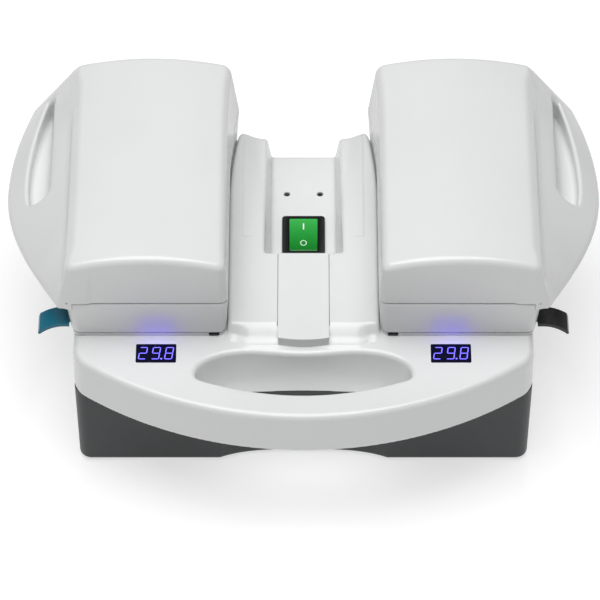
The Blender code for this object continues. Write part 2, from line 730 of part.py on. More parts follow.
def make_latch_spring(name, side, finishes):
    """A coil of round wire on the latch's pin."""
    turns, steps, radius, wire, pitch = 4, 12, 2.6, 0.42, 1.2
    start = LATCH_FRONT + LATCH_WIDTH - 6.0
    rings = []
    for k in range(turns * steps + 1):
        angle = 2 * math.pi * k / steps
        outward = Vector((math.cos(angle), 0, math.sin(angle)))
        centre = Vector((side * LATCH_X, start + pitch * k / steps, LATCH_Z)) + outward * radius
        circle = arc(0, 0, wire, 0, 2 * math.pi, 6)[:-1]
        rings.append([tuple(centre + outward * a + Vector((0, b, 0))) for a, b in circle])
    return loft(f"latch_spring_{name}", rings, finishes["steel"])


# Air path


def make_grille(name, side, finishes):
    x, across, along = side * POD_X, OUTLET_HALF[0] + 3, OUTLET_HALF[1] + 3
    low, pitch, half_slot, border = TUB_BOTTOM + WALL + GAP, 9, 2.5, 5
    plan = (x - across, x + across), (POD_Y - along, POD_Y + along)
    plate = block(f"outlet_grille_{name}", *plan, (low, low + 2), finishes["black"])
    slots, reach = [], across - border
    for k in range(-4, 5):
        y = POD_Y + pitch * k
        slots.append(((x - reach, x + reach), (y - half_slot, y + half_slot), (low - 1, low + 3)))
    return cut(plate, blocks("slots", slots))


def make_duct(name, side, finishes):
    x, bottom, top = side * POD_X, FAN_BOTTOM + FAN_HEIGHT + GAP, TUB_BOTTOM - 0.7
    sizes = [(bottom, FAN_HALF, FAN_HALF), (50, FAN_HALF, FAN_HALF), (84, 29, 43), (top, 29, 43)]
    skins = []
    for offset, beyond in ((0, 0), (1.6, 1)):
        rings = []
        for z, across, along in sizes:
            a, b = across - offset, along - offset
            z += beyond if z == top else -beyond if z == bottom else 0
            rings.append(level(rectangle(x - a, x + a, POD_Y - b, POD_Y + b, 3, 2), z))
        skins.append(rings)
    return cut(loft(f"duct_{name}", skins[0], finishes["black"]), loft("hollow", skins[1]))


def make_heater(name, side, finishes):
    x, half, height, pitch, half_slot, border = side * POD_X, 26, (32, 44), 7, 2.2, 4
    plan = (x - half, x + half), (POD_Y - half, POD_Y + half)
    core = block(f"heater_{name}", *plan, height, finishes["aluminium"])
    slots = []
    for k in range(-3, 4):
        middle, reach = x + pitch * k, half - border
        slots.append(((middle - half_slot, middle + half_slot), (POD_Y - reach, POD_Y + reach), (31, 45)))
    return cut(core, blocks("passages", slots))


def make_fan_frame(name, side, finishes):
    x, low, high = side * POD_X, FAN_BOTTOM, FAN_BOTTOM + FAN_HEIGHT
    outline = rectangle(x - FAN_HALF, x + FAN_HALF, POD_Y - FAN_HALF, POD_Y + FAN_HALF, 4, 3)
    frame = prism(f"fan_frame_{name}", outline, low, high, finishes["black"])
    cut(frame, rod("throat", (x, POD_Y, low - 1), (x, POD_Y, high + 1), FAN_HOLE, sides=32))
    spider = rod("spider", (x, POD_Y, high - 2.6), (x, POD_Y, high), 13, sides=24)
    for k in range(3):
        angle = 2 * math.pi * k / 3 + math.pi / 2
        tip = Vector((x, POD_Y, high - 1.3)) + 29.5 * Vector((math.cos(angle), math.sin(angle), 0))
        join(spider, rod("strut", (x, POD_Y, high - 1.3), tip, 1.2, sides=8))
    return join(frame, spider)


def make_fan_rotor(name, side, finishes):
    x, low, high = side * POD_X, FAN_BOTTOM + 1.4, FAN_BOTTOM + FAN_HEIGHT - 3.2
    rotor = rod(f"fan_rotor_{name}", (x, POD_Y, low), (x, POD_Y, high), 12.5, finishes["black"], 24)
    blades = 7
    for k in range(blades):
        spin = Matrix.Rotation(2 * math.pi * k / blades, 3, "Z")
        rings = []
        for radius, chord, pitch in ((11.5, 7.0, 48), (19.5, 10.0, 40), (27.2, 12.5, 32)):
            tilt = math.radians(pitch)
            across = Vector((0, math.cos(tilt), math.sin(tilt))) * chord / 2
            thick = Vector((0, -math.sin(tilt), math.cos(tilt))) * 0.6
            middle = Vector((radius, 0, (low + high) / 2))
            lower, upper = middle - thick, middle + thick
            corners = [lower - across, lower + across, upper + across, upper - across]
            rings.append([tuple(spin @ c + Vector((x, POD_Y, 0))) for c in corners])
        join(rotor, loft("blade", rings))
    return set_origin(rotor, (x, POD_Y, (low + high) / 2))


def make_filter(name, side, finishes):
    x, half = side * POD_X, 29
    plan = (x - half, x + half), (POD_Y - half, POD_Y + half)
    return block(f"intake_filter_{name}", *plan, (TRAY_FLOOR + GAP, FAN_BOTTOM - GAP), finishes["foam"])


def make_probe(name, side, finishes):
    x, z, wall, length, radius = side * POD_X, 104, BACK - WALL - GAP, 14, 2.2
    name = f"temperature_probe_{name}"
    return rod(name, (x, wall, z), (x, wall - length, z), radius, finishes["steel"], 16)


# Fittings


def make_display(name, side, finishes):
    x, (width, depth) = side * DISPLAY_X, DISPLAY_SIZE
    y = (DISPLAY_Y - depth / 2, DISPLAY_Y + depth / 2)
    outline = rectangle(x - width / 2, x + width / 2, *y, 0.8, 2)
    return prism(f"display_{name}", outline, 82, BRIDGE_TOP + 0.15, finishes["display"])


def make_display_board(name, side, finishes):
    x = side * DISPLAY_X
    plan = (x - 15, x + 15), (DISPLAY_Y - 10, DISPLAY_Y + 10)
    return block(f"display_board_{name}", *plan, (80.1, 81.7), finishes["board"])


def make_switch(finishes):
    """A snap-in frame and the rocker in it, resting with its near end pressed."""
    half_x, half_y = SWITCH_SIZE[0] / 2, SWITCH_SIZE[1] / 2
    floor, pivot_z = TROUGH_FLOOR, TROUGH_FLOOR - 1
    across, along = SWITCH_BODY
    flange = rectangle(-half_x, half_x, SWITCH_Y - half_y, SWITCH_Y + half_y, 2, 3)
    bezel = prism("switch_bezel", flange, floor + GAP, floor + 2.4, finishes["black"])
    depth = (SWITCH_Y - along, SWITCH_Y + along)
    join(bezel, block("body", (-across, across), depth, (floor - 18, floor + 1)))
    cut(bezel, block("well", (-8.8, 8.8), (SWITCH_Y - 13.6, SWITCH_Y + 13.6), (floor - 15, floor + 4)))
    half, low, high = 12.3, -5.0, 3.4
    face = [(11.7, 3.9), (6.2, 3.5), (0, 3.35), (-6.2, 3.5), (-11.7, 3.9)]
    profile = [(-half, low), (half, low), (half, high), *face, (-half, high)]
    turn = Matrix.Rotation(ROCKER_TILT, 2)
    tilted = [turn @ Vector(p) for p in profile]
    sections = [[(x, SWITCH_Y + p.x, pivot_z + p.y) for p in tilted] for x in (-8.4, 8.4)]
    rocker = loft("switch_rocker", sections, finishes["green"])
    return bezel, set_origin(rocker, (0, SWITCH_Y, pivot_z))


def make_inlet(finishes):
    """The mains socket in the rear wall, with three flat contacts."""
    frame = rectangle(INLET_X - 17, INLET_X + 17, INLET_Z - 12.5, INLET_Z + 12.5)
    sections = [[(x, y, z) for x, z in frame] for y in (BACK + GAP, BACK + 2.4)]
    socket = loft("power_inlet", sections, finishes["black"])
    across, up = INLET_BODY
    body = (INLET_X - across, INLET_X + across), (BACK - 22, BACK + 1), (INLET_Z - up, INLET_Z + up)
    join(socket, block("body", *body))
    mouth = [(-12, -8, 1), (12, -8, 1), (12, 3, 0), (7, 8, 0), (-7, 8, 0), (-12, 3, 0)]
    sections = [[(INLET_X + x, y, INLET_Z + z) for x, z in rounded(mouth, 2)] for y in (BACK - 15, BACK + 4)]
    cut(socket, loft("mouth", sections))
    contacts = [("line", -7.0, -2.5), ("neutral", 7.0, -2.5), ("earth", 0.0, 2.5)]
    for word, dx, dz in contacts:
        x, z = INLET_X + dx, INLET_Z + dz
        length = (BACK - 14.6, BACK - 1)
        block(f"inlet_contact_{word}", (x - 1, x + 1), length, (z - 2, z + 2), finishes["steel"])


def make_electronics(finishes):
    block("control_board", (-44, 44), (-42, 22), (BOARD_BOTTOM, BOARD_BOTTOM + 1.6), finishes["board"])
    block("power_supply", (-32, 32), (32, 84), (TRAY_FLOOR + GAP, 34), finishes["aluminium"])


def make_screws_and_feet(finishes):
    for name, side in SIDES.items():
        x = side * SCREW_X
        head = (x, SCREW_Y, TROUGH_FLOOR - 1)
        rod(f"trough_screw_{name}", (x, SCREW_Y, 58), head, 1.5, finishes["steel"], 16)
    names = [f"{depth}_{name}" for name in SIDES for depth in ("front", "rear")]
    for word, (x, y) in zip(names, FEET):
        rod(f"foot_{word}", (x, y, 0), (x, y, FOOT_HEIGHT), 8, finishes["rubber"], 24)
    for word, (x, y) in zip(names, CASE_SCREWS):
        screw = rod(f"case_screw_{word}", (x, y, 2.3), (x, y, HEAD_DEPTH - 0.4), 3.1, finishes["steel"], 16)
        join(screw, rod("shank", (x, y, 4), (x, y, 22), 1.6, sides=12))


def main():
    clear_scene()
    finishes = make_materials()
    make_tray(finishes)
    make_cover(finishes)
    make_centre_cover(finishes)
    lid_and_latch = (make_lid, make_gasket, make_hinge_pin, make_latch_pin, make_latch_spring)
    air_path = (make_duct, make_heater, make_fan_frame, make_fan_rotor, make_filter, make_probe)
    makers = (make_tub, make_pad, make_grille, *lid_and_latch, *air_path, make_display, make_display_board)
    for name, side in SIDES.items():
        for maker in makers:
            maker(name, side, finishes)
        make_latch(name, side, finishes["blue" if side == LEFT else "black"])
    make_switch(finishes)
    make_inlet(finishes)
    make_electronics(finishes)
    make_screws_and_feet(finishes)
    for obj in bpy.data.objects:
        shade(obj)


main()
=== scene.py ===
"""The looks of the two-chamber boot dryer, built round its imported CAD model.

The moulded shells are made from distance fields, so that every edge has its own rounding, and the rest from
lofts. Sizes are in millimetres until a mesh is made.
"""

import math

import bmesh
import bpy
import numpy as np
from mathutils import Matrix, Vector


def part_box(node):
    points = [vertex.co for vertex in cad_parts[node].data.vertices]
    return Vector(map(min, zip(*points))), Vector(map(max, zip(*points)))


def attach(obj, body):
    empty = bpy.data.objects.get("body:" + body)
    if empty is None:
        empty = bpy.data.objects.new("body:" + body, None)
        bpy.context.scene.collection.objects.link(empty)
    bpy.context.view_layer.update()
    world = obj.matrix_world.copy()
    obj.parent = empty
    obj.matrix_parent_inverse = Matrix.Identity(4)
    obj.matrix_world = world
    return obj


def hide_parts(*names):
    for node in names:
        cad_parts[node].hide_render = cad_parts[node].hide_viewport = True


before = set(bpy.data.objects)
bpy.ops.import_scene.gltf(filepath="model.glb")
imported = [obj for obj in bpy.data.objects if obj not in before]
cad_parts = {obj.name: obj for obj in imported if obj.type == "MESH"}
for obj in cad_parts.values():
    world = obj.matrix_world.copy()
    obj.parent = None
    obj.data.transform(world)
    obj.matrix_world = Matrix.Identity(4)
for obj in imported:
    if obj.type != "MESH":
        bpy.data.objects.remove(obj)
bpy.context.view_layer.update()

MM = 0.001
LEFT, RIGHT = -1, 1
SIDES = {"left": LEFT, "right": RIGHT}
WALL = 2.6  # thickness of the moulded shells


def span(node):
    """Lowest and highest corner of a CAD node in millimetres."""
    low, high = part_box(node)
    return low / MM, high / MM


cover_low, cover_high = span("top_cover")
tray_low, tray_high = span("base_tray")
strip_low, strip_high = span("centre_cover")
display_low, display_high = span("display_right")
bezel_low, bezel_high = span("switch_bezel")
rocker_low, rocker_high = span("switch_rocker")
pin_low, pin_high = span("hinge_pin_right")

# Cover
HALF_WIDTH = cover_high.x
BACK = cover_high.y
COVER_BOTTOM = cover_low.z
DECK_TOP = cover_high.z
BOW_RADIUS = 213.0
BOW_CENTRE_Y = cover_low.y + BOW_RADIUS
BRIDGE_TOP = display_high.z - 0.15
COVER_CORNER = 6.0
BOW_EDGE = 3.8  # rounding along the top of the cover's outer edge
DECK_FRONT = -48.5
DECK_RAMP = 7.0
HOLE_RADIUS = 158.7
HOLE_CENTRE_Y = 61.3
HOLE_HALF = 56.0  # half the length of the hole's front arc
HOLE_TIP = ((58.8, -86.1), (60.2, -85.4), (61.4, -84.4), (62.2, -83.0))
HOLE_END_X, HOLE_END_Y = 62.5, -81.3
HOLE_SHOULDER_X, HOLE_SHOULDER_Y = 31.0, -64.3
HOLE_SWELL = 1.2
HOLE_DRAFT = 0.12
HOLE_EDGE = 2.6
CELL = 1.1  # spacing at which the cover's field is sampled
OUTLET_HALF = (31.0, 45.0)
OUTLET_BOTTOM = 80.0
LEDGE = 1.2  # how far the cover reaches under a display window
BEZEL_LEDGE = 1.5
SWITCH_HALF = 10.9
STRIP_GAP = 0.35
STRIP_BED = 1.4

# Deck: its front legs, its shoulders beside the trough and the shallow channels on them
LEG_EDGE, LEG_RUN, LEG_LENGTH = 39.5, 9.0, 5.0
SHOULDER_EDGE, SHOULDER_RUN = 36.5, 14.0
SHOULDER_DROP, SHOULDER_FRONT, SHOULDER_LENGTH = 6.3, 12.0, 92.0
CHANNEL_INNER, CHANNEL_OUTER, CHANNEL_FRONT, CHANNEL_DEPTH = 25.0, 36.2, 20.0, 0.6

# Trough of the switch
TROUGH_FLOOR = bezel_high.z - 2.4
TROUGH_HALF = 19.0
TROUGH_DRAFT = 4.0
TROUGH_FRONT = 7.7
TROUGH_FRONT_RUN = 14.0
TROUGH_EDGE = 1.8
SCREW_X, SCREW_Y = 9.9, 78.7
SCREW_HOLE = 1.8

# Rocker: height of its face over the pivot, and how deep and how round the face is hollowed
ROCKER_MIDDLE, ROCKER_HOLLOW, ROCKER_CURVE = 3.3, 0.6, 1.8
ROCKER_HALF = 12.3
ROCKER_FOOT = -5.0
ROCKER_TILT = math.radians(4.7)
MARK_LOW, MARK_HIGH = -0.25, 0.1
BAR_HALF = (0.38, 2.3)
RING_RADIUS, RING_STRETCH, RING_WIDTH = 1.9, 1.15, 0.45

# Reading on the displays
READING = "298"
FIGURE_PITCH = 7.5
FIGURE_WIDTH, FIGURE_HEIGHT = 4.6, 9.3
FIGURE_BAR = 0.5
FIGURE_LEAN = 0.12
POINT_X, POINT_RISE, POINT_RADIUS = 3.1, 0.4, 0.55

# Chambers
POD_FRONT = -52.7
POD_OUTER = 136.4
POD_INNER = 43.1
POD_CORNER = 5.0
POD_X = (pin_low.x + pin_high.x) / 2
POD_Y = 28.0
TUB_TOP = 116.6
TUB_BOTTOM = 91.8
TUB_OUTER_DRAFT = 3.1
TUB_INNER_DRAFT = 1.5
TUB_EDGE = 2.2
TUB_RIM_OUTER, TUB_RIM_INNER = 0.9, 0.6
TUB_FILLET = 1.2
TUB_OUTLET_HALF = (28.0, 42.0)
PLINTH_INSET = 0.4
PLINTH_RELIEF = 3.4  # room under the tub's floor for the duct's rim
PAD_X = (48.7, 54.3)
PAD_FRONT = -52.7
LATCH_WINDOW_Y = (-47.8, -34.1)
LATCH_WINDOW_HALF = 3.7
LATCH_WINDOW_X = (129.0, 140.0)
FLARE_START = 53.0
FLARE = 5.5

# Lids
LID_BOTTOM = 117.2
LID_FRONT_EDGE = 146.0
LID_BACK_EDGE = 151.0
LID_CROWN = 7.0
EAR_PEAK_Y = 39.5
EAR_PEAK = 37.0
EAR_FRONT = 4.0
EAR_BACK_DROP = 12.5
EAR_BOTTOM = 110.0
EAR_CURL = 1.6
EAR_CURL_RUN = 60.0
LID_LIFT = 30.0  # height over which a lid's sides draw in
LID_INNER_DRAFT, LID_OUTER_DRAFT = 1.3, 0.8
LID_EDGE_INNER, LID_EDGE_OUTER, LID_EDGE_ENDS = 4.6, 6.8, 4.0
WING_DROP, WING_RISE, WING_RISE_START, WING_RISE_RUN = 9.5, 5.0, 55.0, 50.0
WING_DEPTH = 14.0
WING_FRONT_INSET = 0.4
SKIRT_THICKNESS = 3.0
POCKET_FLOOR = 112.4
POCKET_INNER = 148.0
POCKET_FRONT = 21.5
POCKET_BACK = 102.0
POCKET_LIP = 12.0
POCKET_DRAFT = 0.06
POCKET_MIDDLE_Z = 150.0
POCKET_MARGIN = 1.2
HINGE_Y = (pin_low.y + pin_high.y) / 2
HINGE_Z = (pin_low.z + pin_high.z) / 2
KNUCKLE_RADIUS = 2.9
KNUCKLE_BORE = 1.7
KNUCKLE_GAP = 0.4
TUB_KNUCKLE = (30.5, 42.5)
LID_KNUCKLE = (18, 30)
WEB_INTO_WALL = 0.6

# Tray
TRAY_FRONT = -71.0
TRAY_DRAFT = 1.0
TRAY_CORNER = 7
TRAY_EDGE = 3.2
RECESS_DEPTH, RECESS_HALF, RECESS_POWER = 6.4, 49.0, 3.3
INTAKE_HALF = (24.0, 2.0)
INTAKE_PITCH = 7.5
VENT_COUNT, VENT_START, VENT_PITCH, VENT_WIDTH = 9, -104, 8.0, 4
VENT_HEIGHT = (18, 46)
SLOT_ROUND = 1.9
CASE_SCREW_BORE = 3.5

# Stage, in metres
TABLE_HALF = 6.0
TABLE_GLOW = 0.64
SKY_STRENGTH = 0.12
LAMP_PLACE = (-0.08, -0.1, 1.5)
LAMP_TARGET = (0, 0, 0.08)
LAMP_SIZE = 1.2
LAMP_POWER = 22.5
GLOW_SIZE = (0.019, 0.004)
GLOW_POWER = 0.0007
GLOW_COLOUR = (0.1, 0.04, 1.0)
CAMERA_DISTANCE = 2.5
CAMERA_ELEVATION = 46.5
CAMERA_TARGET = (0, 0.0195, 0.075)
CAMERA_LENS, CAMERA_SENSOR = 254.2, 36.0
PICTURE_SIDE = 600
CAMERA_SHIFT = (-3.5, -37)  # in pixels of that picture


# Materials


def shader_of(name, colour, roughness, metallic=0.0, coat=0.0, specular=0.5):
    """A material with a Principled shader, and a short way to add nodes to it."""
    made = bpy.data.materials.new(name)
    made.use_nodes = True
    tree = made.node_tree
    shader = tree.nodes["Principled BSDF"]
    shader.inputs["Base Color"].default_value = (*colour, 1.0)
    shader.inputs["Roughness"].default_value = roughness
    shader.inputs["Metallic"].default_value = metallic
    shader.inputs["Specular IOR Level"].default_value = specular
    shader.inputs["Coat Weight"].default_value = coat
    shader.inputs["Coat Roughness"].default_value = 0.08

    def node(kind, inputs=(), **settings):
        added = tree.nodes.new(kind)
        for key, value in settings.items():
            setattr(added, key, value)
        for key, value in dict(inputs).items():
            if isinstance(value, bpy.types.NodeSocket):
                tree.links.new(value, added.inputs[key])
            else:
                added.inputs[key].default_value = value
        return added

    return made, tree, shader, node


def moulded(name, colour, roughness, grain=0.02, grain_scale=1500.0, tone=0.015, edge_lift=0.05, specular=0.5):
    """Moulded plastic: fine spark-eroded grain, a slow change of gloss and tone, and colour lightened in
    patches along sharp outer edges.
    """
    made, tree, shader, node = shader_of(name, colour, roughness, specular=specular)
    spread = 0.05
    place = node("ShaderNodeTexCoord").outputs["Object"]
    slow = node("ShaderNodeTexNoise", {"Vector": place, "Scale": 14.0, "Detail": 3.0, "Roughness": 0.55})
    grains = {"Vector": place, "Scale": grain_scale, "Detail": 2.0, "Roughness": 0.6}
    fine = node("ShaderNodeTexNoise", grains)
    smudge = node("ShaderNodeTexNoise", {"Vector": place, "Scale": 55.0, "Detail": 5.0, "Roughness": 0.65})

    shade = node("ShaderNodeMapRange", {"Value": slow.outputs["Fac"], "From Min": 0.3, "From Max": 0.7})
    dark = tuple(c * (1 - tone) for c in colour)
    light = tuple(min(1.0, c * (1 + tone)) for c in colour)
    body = node("ShaderNodeMix", data_type="RGBA")
    tree.links.new(shade.outputs["Result"], body.inputs["Factor"])
    body.inputs["A"].default_value = (*dark, 1.0)
    body.inputs["B"].default_value = (*light, 1.0)

    # colour made lighter in patches along sharp outer edges, found from pointiness
    edge = node("ShaderNodeNewGeometry").outputs["Pointiness"]
    sharp_edges = node("ShaderNodeMapRange", {"Value": edge, "From Min": 0.52, "From Max": 0.62})
    factors = {0: sharp_edges.outputs["Result"], 1: smudge.outputs["Fac"]}
    amount = node("ShaderNodeMath", factors, operation="MULTIPLY")
    edge_lightened = node("ShaderNodeMix", data_type="RGBA")
    tree.links.new(amount.outputs["Value"], edge_lightened.inputs["Factor"])
    tree.links.new(body.outputs["Result"], edge_lightened.inputs["A"])
    edge_lightened.inputs["B"].default_value = (*(c + (1 - c) * edge_lift for c in colour), 1.0)
    tree.links.new(edge_lightened.outputs["Result"], shader.inputs["Base Color"])

    gloss = node("ShaderNodeMapRange", {"Value": smudge.outputs["Fac"], "From Min": 0.3, "From Max": 0.7})
    gloss.inputs["To Min"].default_value = roughness - spread / 2
    gloss.inputs["To Max"].default_value = roughness + spread / 2
    tree.links.new(gloss.outputs["Result"], shader.inputs["Roughness"])
    bump = node("ShaderNodeBump", {"Height": fine.outputs["Fac"], "Strength": grain, "Distance": 0.0002})
    tree.links.new(bump.outputs["Normal"], shader.inputs["Normal"])
    return made


def metal(name, colour, roughness, stretch=(1.0, 1.0, 12.0)):
    """Turned or rolled metal with fine drawn lines."""
    made, tree, shader, node = shader_of(name, colour, roughness, metallic=1.0)
    place = node("ShaderNodeTexCoord").outputs["Object"]
    drawn = node("ShaderNodeMapping", {"Vector": place, "Scale": stretch})
    lines = node("ShaderNodeTexNoise", {"Vector": drawn.outputs["Vector"], "Scale": 420.0, "Detail": 4.0})
    limits = {"To Min": roughness * 0.7, "To Max": roughness * 1.4}
    gloss = node("ShaderNodeMapRange", {"Value": lines.outputs["Fac"], **limits})
    tree.links.new(gloss.outputs["Result"], shader.inputs["Roughness"])
    bump = node("ShaderNodeBump", {"Height": lines.outputs["Fac"], "Strength": 0.08, "Distance": 0.0002})
    tree.links.new(bump.outputs["Normal"], shader.inputs["Normal"])
    return made


def porous(name, colour, cell):
    """Open foam or rubber with a rough, speckled surface."""
    made, tree, shader, node = shader_of(name, colour, 0.85)
    place = node("ShaderNodeTexCoord").outputs["Object"]
    cells = node("ShaderNodeTexVoronoi", {"Vector": place, "Scale": cell})
    shade = node("ShaderNodeMapRange", {"Value": cells.outputs["Distance"], "To Min": 0.6, "To Max": 1.5})
    tint = node("ShaderNodeHueSaturation", {"Value": shade.outputs["Result"], "Color": (*colour, 1.0)})
    tree.links.new(tint.outputs["Color"], shader.inputs["Base Color"])
    bump = node("ShaderNodeBump", {"Height": cells.outputs["Distance"], "Strength": 0.5, "Distance": 0.0006})
    tree.links.new(bump.outputs["Normal"], shader.inputs["Normal"])
    return made


def board(name):
    """Circuit board: green lacquer with a faint grid of copper under it."""
    made, tree, shader, node = shader_of(name, (0.01, 0.12, 0.05), 0.35)
    place = node("ShaderNodeTexCoord").outputs["Object"]
    tracks = node("ShaderNodeTexBrick", {"Vector": place, "Scale": 260.0, "Mortar Size": 0.09})
    tracks.inputs["Color1"].default_value = (0.01, 0.12, 0.05, 1.0)
    tracks.inputs["Color2"].default_value = (0.012, 0.15, 0.06, 1.0)
    tracks.inputs["Mortar"].default_value = (0.05, 0.22, 0.09, 1.0)
    tree.links.new(tracks.outputs["Color"], shader.inputs["Base Color"])
    return made


def glowing(name, colour, strength, roughness=0.4):
    """A lit surface whose brightness varies a little from place to place."""
    made, tree, shader, node = shader_of(name, colour, roughness)
    place = node("ShaderNodeTexCoord").outputs["Object"]
    flicker = node("ShaderNodeTexNoise", {"Vector": place, "Scale": 900.0})
    limits = {"To Min": strength * 0.8, "To Max": strength * 1.2}
    level = node("ShaderNodeMapRange", {"Value": flicker.outputs["Fac"], **limits})
    shader.inputs["Emission Color"].default_value = (*colour, 1.0)
    tree.links.new(level.outputs["Result"], shader.inputs["Emission Strength"])
    return made


def make_finishes():
    white = (0.75, 0.755, 0.755)
    grey = (0.036, 0.039, 0.041)
    night = (0.001, 0.001, 0.022)
    return {
        "white": moulded("white_shell_plastic", white, 0.24, grain=0.012),
        "satin": moulded("white_tub_plastic", white, 0.3, grain=0.03),
        "grey": moulded("dark_tray_plastic", grey, 0.42, 0.3, 900.0, 0.12, specular=0.35),
        "black": moulded("black_plastic", (0.008, 0.008, 0.009), 0.3, 0.12, tone=0.15, specular=0.3),
        "blue": moulded("blue_latch_plastic", (0.0, 0.135, 0.215), 0.3, 0.05, tone=0.08, specular=0.3),
        "window": moulded("display_window_plastic", night, 0.3, 0.01, tone=0.2, edge_lift=0.01, specular=0.1),
        "rubber": porous("foot_rubber", (0.03, 0.03, 0.03), 2200.0),
        "foam": porous("filter_foam", (0.05, 0.05, 0.052), 900.0),
        "steel": metal("bright_steel", (0.56, 0.57, 0.58), 0.28),
        "aluminium": metal("sheet_aluminium", (0.68, 0.69, 0.7), 0.38, (1.0, 14.0, 1.0)),
        "board": board("board_lacquer"),
        "digits": glowing("display_digits", (0.16, 0.13, 1.0), 1.7),
        "mark": moulded("switch_marks", (0.75, 0.86, 0.74), 0.4, tone=0.05),
    }


def rocker_painted_shade_finish():
    """Translucent green of a lit rocker, with painted shade: its colour and glow go from dark at the near
    end to light at the far end.
    """
    made, tree, shader, node = shader_of("rocker_green_painted_shade", (0.02, 0.42, 0.045), 0.2, coat=0.4)
    place = node("ShaderNodeTexCoord").outputs["Object"]
    parts = node("ShaderNodeSeparateXYZ", {"Vector": place})
    near, far = rocker_low.y * MM, rocker_high.y * MM
    along = node("ShaderNodeMapRange", {"Value": parts.outputs["Y"], "From Min": near, "From Max": far})
    # painted shade: a ramp along the rocker from dark at its near end to light at its far end, used for
    # colour and glow
    ramp = node("ShaderNodeValToRGB", {"Fac": along.outputs["Result"]})
    ramp.color_ramp.elements[0].color = (0.0, 0.15, 0.01, 1.0)
    ramp.color_ramp.elements[1].color = (0.02, 0.36, 0.05, 1.0)
    tree.links.new(ramp.outputs["Color"], shader.inputs["Base Color"])
    tree.links.new(ramp.outputs["Color"], shader.inputs["Emission Color"])
    shader.inputs["Emission Strength"].default_value = 0.15
    fine = node("ShaderNodeTexNoise", {"Vector": place, "Scale": 1300.0, "Detail": 2.0})
    bump = node("ShaderNodeBump", {"Height": fine.outputs["Fac"], "Strength": 0.03, "Distance": 0.0002})
    tree.links.new(bump.outputs["Normal"], shader.inputs["Normal"])
    return made


# Outlines


def arc(cx, cy, radius, start, end, steps):
    angles = [start + (end - start) * i / steps for i in range(steps + 1)]
    return [(cx + radius * math.cos(a), cy + radius * math.sin(a)) for a in angles]


def rounded(corners, steps=8):
    """A closed outline through (x, y, radius) corners, each rounded with an arc."""
    points = []
    count = len(corners)
    for i, (x, y, radius) in enumerate(corners):
        here = Vector((x, y))
        if radius == 0:
            points.append((x, y))
            continue
        before = (Vector(corners[i - 1][:2]) - here).normalized()
        after = (Vector(corners[(i + 1) % count][:2]) - here).normalized()
        half = before.angle(after) / 2
        start = here + before * (radius / math.tan(half))
        centre = here + (before + after).normalized() * (radius / math.sin(half))
        arm = start - centre
        turn = (math.pi - 2 * half) * (1 if before.x * after.y - before.y * after.x < 0 else -1)
        for k in range(steps + 1):
            points.append(tuple(centre + Matrix.Rotation(turn * k / steps, 2) @ arm))
    return points


def rectangle(x0, x1, y0, y1, radius=0.0, steps=6):
    return rounded([(x0, y0, radius), (x1, y0, radius), (x1, y1, radius), (x0, y1, radius)], steps)


def inset(outline, distance):
    """The outline moved inwards; it runs anticlockwise."""
    moved = []
    count = len(outline)
    for i in range(count):
        here = Vector(outline[i])
        before = (here - Vector(outline[i - 1])).normalized()
        after = (Vector(outline[(i + 1) % count]) - here).normalized()
        normal = Vector((-before.y - after.y, before.x + after.x)).normalized()
        stretch = max(0.4, normal.dot(Vector((-before.y, before.x))))
        moved.append(tuple(here + normal * (distance / stretch)))
    return moved


def level(outline, z):
    return [(x, y, z) for x, y in outline]


def flip(ring, side):
    return [(side * x, y, z) for x, y, z in ring]


# Meshes


def show(name, mesh, finish):
    obj = bpy.data.objects.new(name, mesh)
    bpy.context.scene.collection.objects.link(obj)
    if finish:
        mesh.materials.append(finish)
    return obj


def solid(name, points, faces, finish=None):
    mesh = bpy.data.meshes.new(name)
    mesh.from_pydata([Vector(p) * MM for p in points], [], faces)
    shape = bmesh.new()
    shape.from_mesh(mesh)
    bmesh.ops.recalc_face_normals(shape, faces=shape.faces)
    shape.to_mesh(mesh)
    shape.free()
    return show(name, mesh, finish)


def loft(name, rings, finish=None):
    """A closed solid through rings of equal length, capped at both ends."""
    count = len(rings[0])
    points = [p for ring in rings for p in ring]
    faces = []
    for k in range(len(rings) - 1):
        for i in range(count):
            a, b = k * count + i, k * count + (i + 1) % count
            faces.append((a, b, b + count, a + count))
    faces.append(tuple(range(count)))
    faces.append(tuple((len(rings) - 1) * count + i for i in range(count)))
    return solid(name, points, faces, finish)


def prism(name, outline, low, high, finish=None):
    return loft(name, [level(outline, low), level(outline, high)], finish)


def block(name, x, y, z, finish=None):
    return prism(name, rectangle(*x, *y), *z, finish)


def rod(name, start, end, radius, finish=None, sides=40):
    """A round bar between two points."""
    start, end = Vector(start), Vector(end)
    turn = (end - start).to_track_quat("Z", "Y")
    rings = []
    for centre in (start, end):
        circle = arc(0, 0, radius, 0, 2 * math.pi, sides)[:-1]
        rings.append([tuple(centre + turn @ Vector((x, y, 0))) for x, y in circle])
    return loft(name, rings, finish)


def combine(target, tool, operation):
    """Applies a Boolean of the tool to the target, and removes the tool."""
    step = target.modifiers.new(operation.lower(), "BOOLEAN")
    step.operation = operation
    step.object = tool
    graph = bpy.context.evaluated_depsgraph_get()
    result = bpy.data.meshes.new_from_object(target.evaluated_get(graph))
    target.modifiers.clear()
    finishes = list(target.data.materials)
    target.data = result
    result.materials.clear()
    for finish in finishes:
        result.materials.append(finish)
    bpy.data.objects.remove(tool)
    return target


def cut(target, *tools):
    for tool in tools:
        combine(target, tool, "DIFFERENCE")
    return target


def join(target, *tools):
    for tool in tools:
        combine(target, tool, "UNION")
    return target


